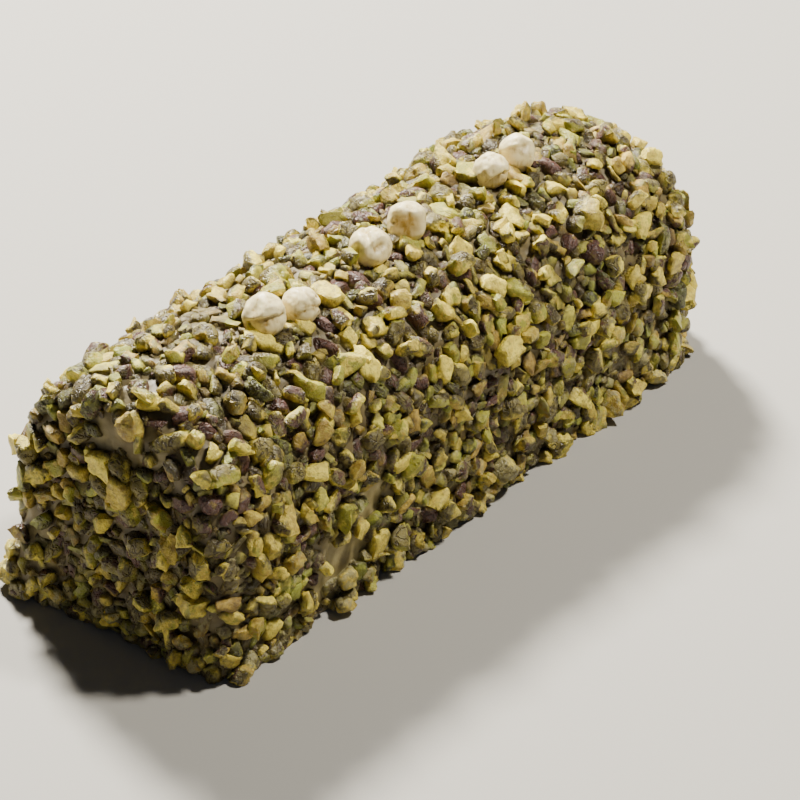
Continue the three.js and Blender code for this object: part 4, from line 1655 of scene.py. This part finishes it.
def make_hazelnuts() -> list[Hazelnut]:
    """Returns the six hazelnuts, in the order of their nodes."""
    crease, ledge, dent = Mark.CREASE, Mark.LEDGE, Mark.DENT
    return [
        Hazelnut("hazelnut_1", tip=seen(-0.12, 0.97), tip_rise=0.8, wrinkle=0.1, features=(
            Feature(ledge, seen(-0.18, 1, edgewise=True), depth=1.8, breadth=0.08, offset=-0.07,
                    toast_and_shade=0.5),
            Feature(dent, seen(-0.45, 0.3), depth=1.1, breadth=0.36, toast_and_shade=0.35),
            Feature(dent, seen(-0.92, 0.28), depth=0.9, breadth=0.13, toast_and_shade=0.9),
            Feature(dent, seen(0.9, 0.1), depth=0.9, breadth=0.14, toast_and_shade=0.8),
            Feature(dent, seen(0.2, -0.5), depth=0.4, breadth=0.1, toast_and_shade=0.6))),
        Hazelnut("hazelnut_2", tip=seen(0.93, -0.05), tip_rise=0.8, wrinkle=0.15, features=(
            Feature(dent, seen(0.8, 0.45), depth=0.6, breadth=0.12, toast_and_shade=0.9),
            Feature(dent, seen(0.9, -0.3), depth=0.5, breadth=0.1, toast_and_shade=0.9),
            Feature(crease, seen(-0.41, 0.91, edgewise=True), depth=0.6, breadth=0.13, offset=-0.43,
                    towards=seen(0.7, -0.4), toast_and_shade=0.5),
            Feature(crease, seen(0.1, 1, edgewise=True), depth=0.45, breadth=0.12, offset=0.04,
                    towards=seen(0.8, 0), toast_and_shade=0.5),
            Feature(crease, seen(0.76, 0.65, edgewise=True), depth=0.4, breadth=0.12, offset=0.67,
                    towards=seen(0.7, 0.4), toast_and_shade=0.4))),
        Hazelnut("hazelnut_3", tip=seen(0.1, -0.9), tip_rise=0.2, wrinkle=0.06, squareness=0.3, features=(
            Feature(dent, seen(-0.62, -0.12), depth=1.6, breadth=0.42, toast_and_shade=0.45),
            Feature(dent, seen(0.34, -0.12), depth=1.5, breadth=0.25, toast_and_shade=0.6),
            Feature(dent, seen(0.5, 0.02), depth=1.5, breadth=0.25, toast_and_shade=0.6),
            Feature(dent, seen(0.66, 0.16), depth=1.5, breadth=0.25, toast_and_shade=0.6),
            Feature(crease, seen(0.98, 0.19, edgewise=True), depth=1.0, breadth=0.16, offset=-0.04,
                    towards=seen(-0.15, 0.8), toast_and_shade=0.15),
            Feature(dent, seen(-0.2, 0.95), depth=2.6, breadth=0.24, toast_and_shade=0.2))),
        Hazelnut("hazelnut_4", tip=seen(0.1, 0.98), tip_rise=0.3, wrinkle=0.08, squareness=0.2, features=(
            Feature(ledge, seen(0.05, 1, edgewise=True), depth=1.2, breadth=0.3, offset=0.34, toast_and_shade=0.75),
            Feature(crease, seen(1, -0.05, edgewise=True), depth=0.7, breadth=0.3, offset=0.12,
                    towards=seen(0.15, -0.35), toast_and_shade=0.8),
            Feature(dent, seen(-0.3, -0.4), depth=0.6, breadth=0.3, toast_and_shade=0.5),
            Feature(dent, seen(0.45, -0.5), depth=0.6, breadth=0.26, toast_and_shade=0.6),
            Feature(dent, seen(-0.77, -0.05), depth=0.9, breadth=0.1, toast_and_shade=1.0))),
        Hazelnut("hazelnut_5", tip=seen(0.4, -0.8), tip_rise=0.6, wrinkle=0.08, features=(
            Feature(dent, seen(0.73, -0.12), depth=1.3, breadth=0.1, toast_and_shade=1.0),
            Feature(ledge, seen(-0.47, 0.88, edgewise=True), depth=1.1, breadth=0.12, offset=-0.44,
                    towards=seen(0.55, -0.4), toast_and_shade=0.5))),
        Hazelnut("hazelnut_6", tip=seen(0.3, 0.8), tip_rise=0.4, wrinkle=0.1, features=(
            Feature(ledge, seen(-0.3, 0.95, edgewise=True), depth=1.1, breadth=0.14, offset=0.3,
                    toast_and_shade=0.4),
            Feature(dent, seen(0.45, 0.42), depth=1.2, breadth=0.28, toast_and_shade=0.45),
            Feature(dent, seen(0.82, -0.2), depth=0.6, breadth=0.12, toast_and_shade=0.7))),
    ]


def main() -> None:
    """Builds the cake and its studio, and logs each piece's triangles."""
    logging.basicConfig(level=logging.INFO, format="%(name)s: %(message)s")
    noise.seed_set(SEED)
    Studio().build()
    rng = np.random.default_rng(SEED)
    hazelnuts = make_hazelnuts()
    coat = CreamCoat(Loaf.under_nuts("log", NUTS_BESIDE, NUTS_ABOVE))
    points, out = coat.spread()
    layout = NutLayout(coat, points, out, hazelnuts, rng)
    layout.mark(MARKED_PLAIN, PLAIN_NUTS)
    layout.mark(MARKED_SKINNED, SKINNED_NUTS)
    for kind in NUT_KINDS:
        layout.lay(kind)
    cream = coat.build(coat.rise(points, out, np.vstack([laid.places for laid in layout.laid])))
    scatter = NutScatter(cream, coat.loaf, rng)
    for laid in layout.laid:
        log.info("%s: %d laid", laid.kind.name, len(laid.places))
        hand_over(scatter.build(laid), "log")
    hand_over(cream, "log")
    kernel = HazelnutFinish().material()
    for nut in hazelnuts:
        hand_over(nut.build(kernel), nut.node)


if __name__ == "__main__":
    main()
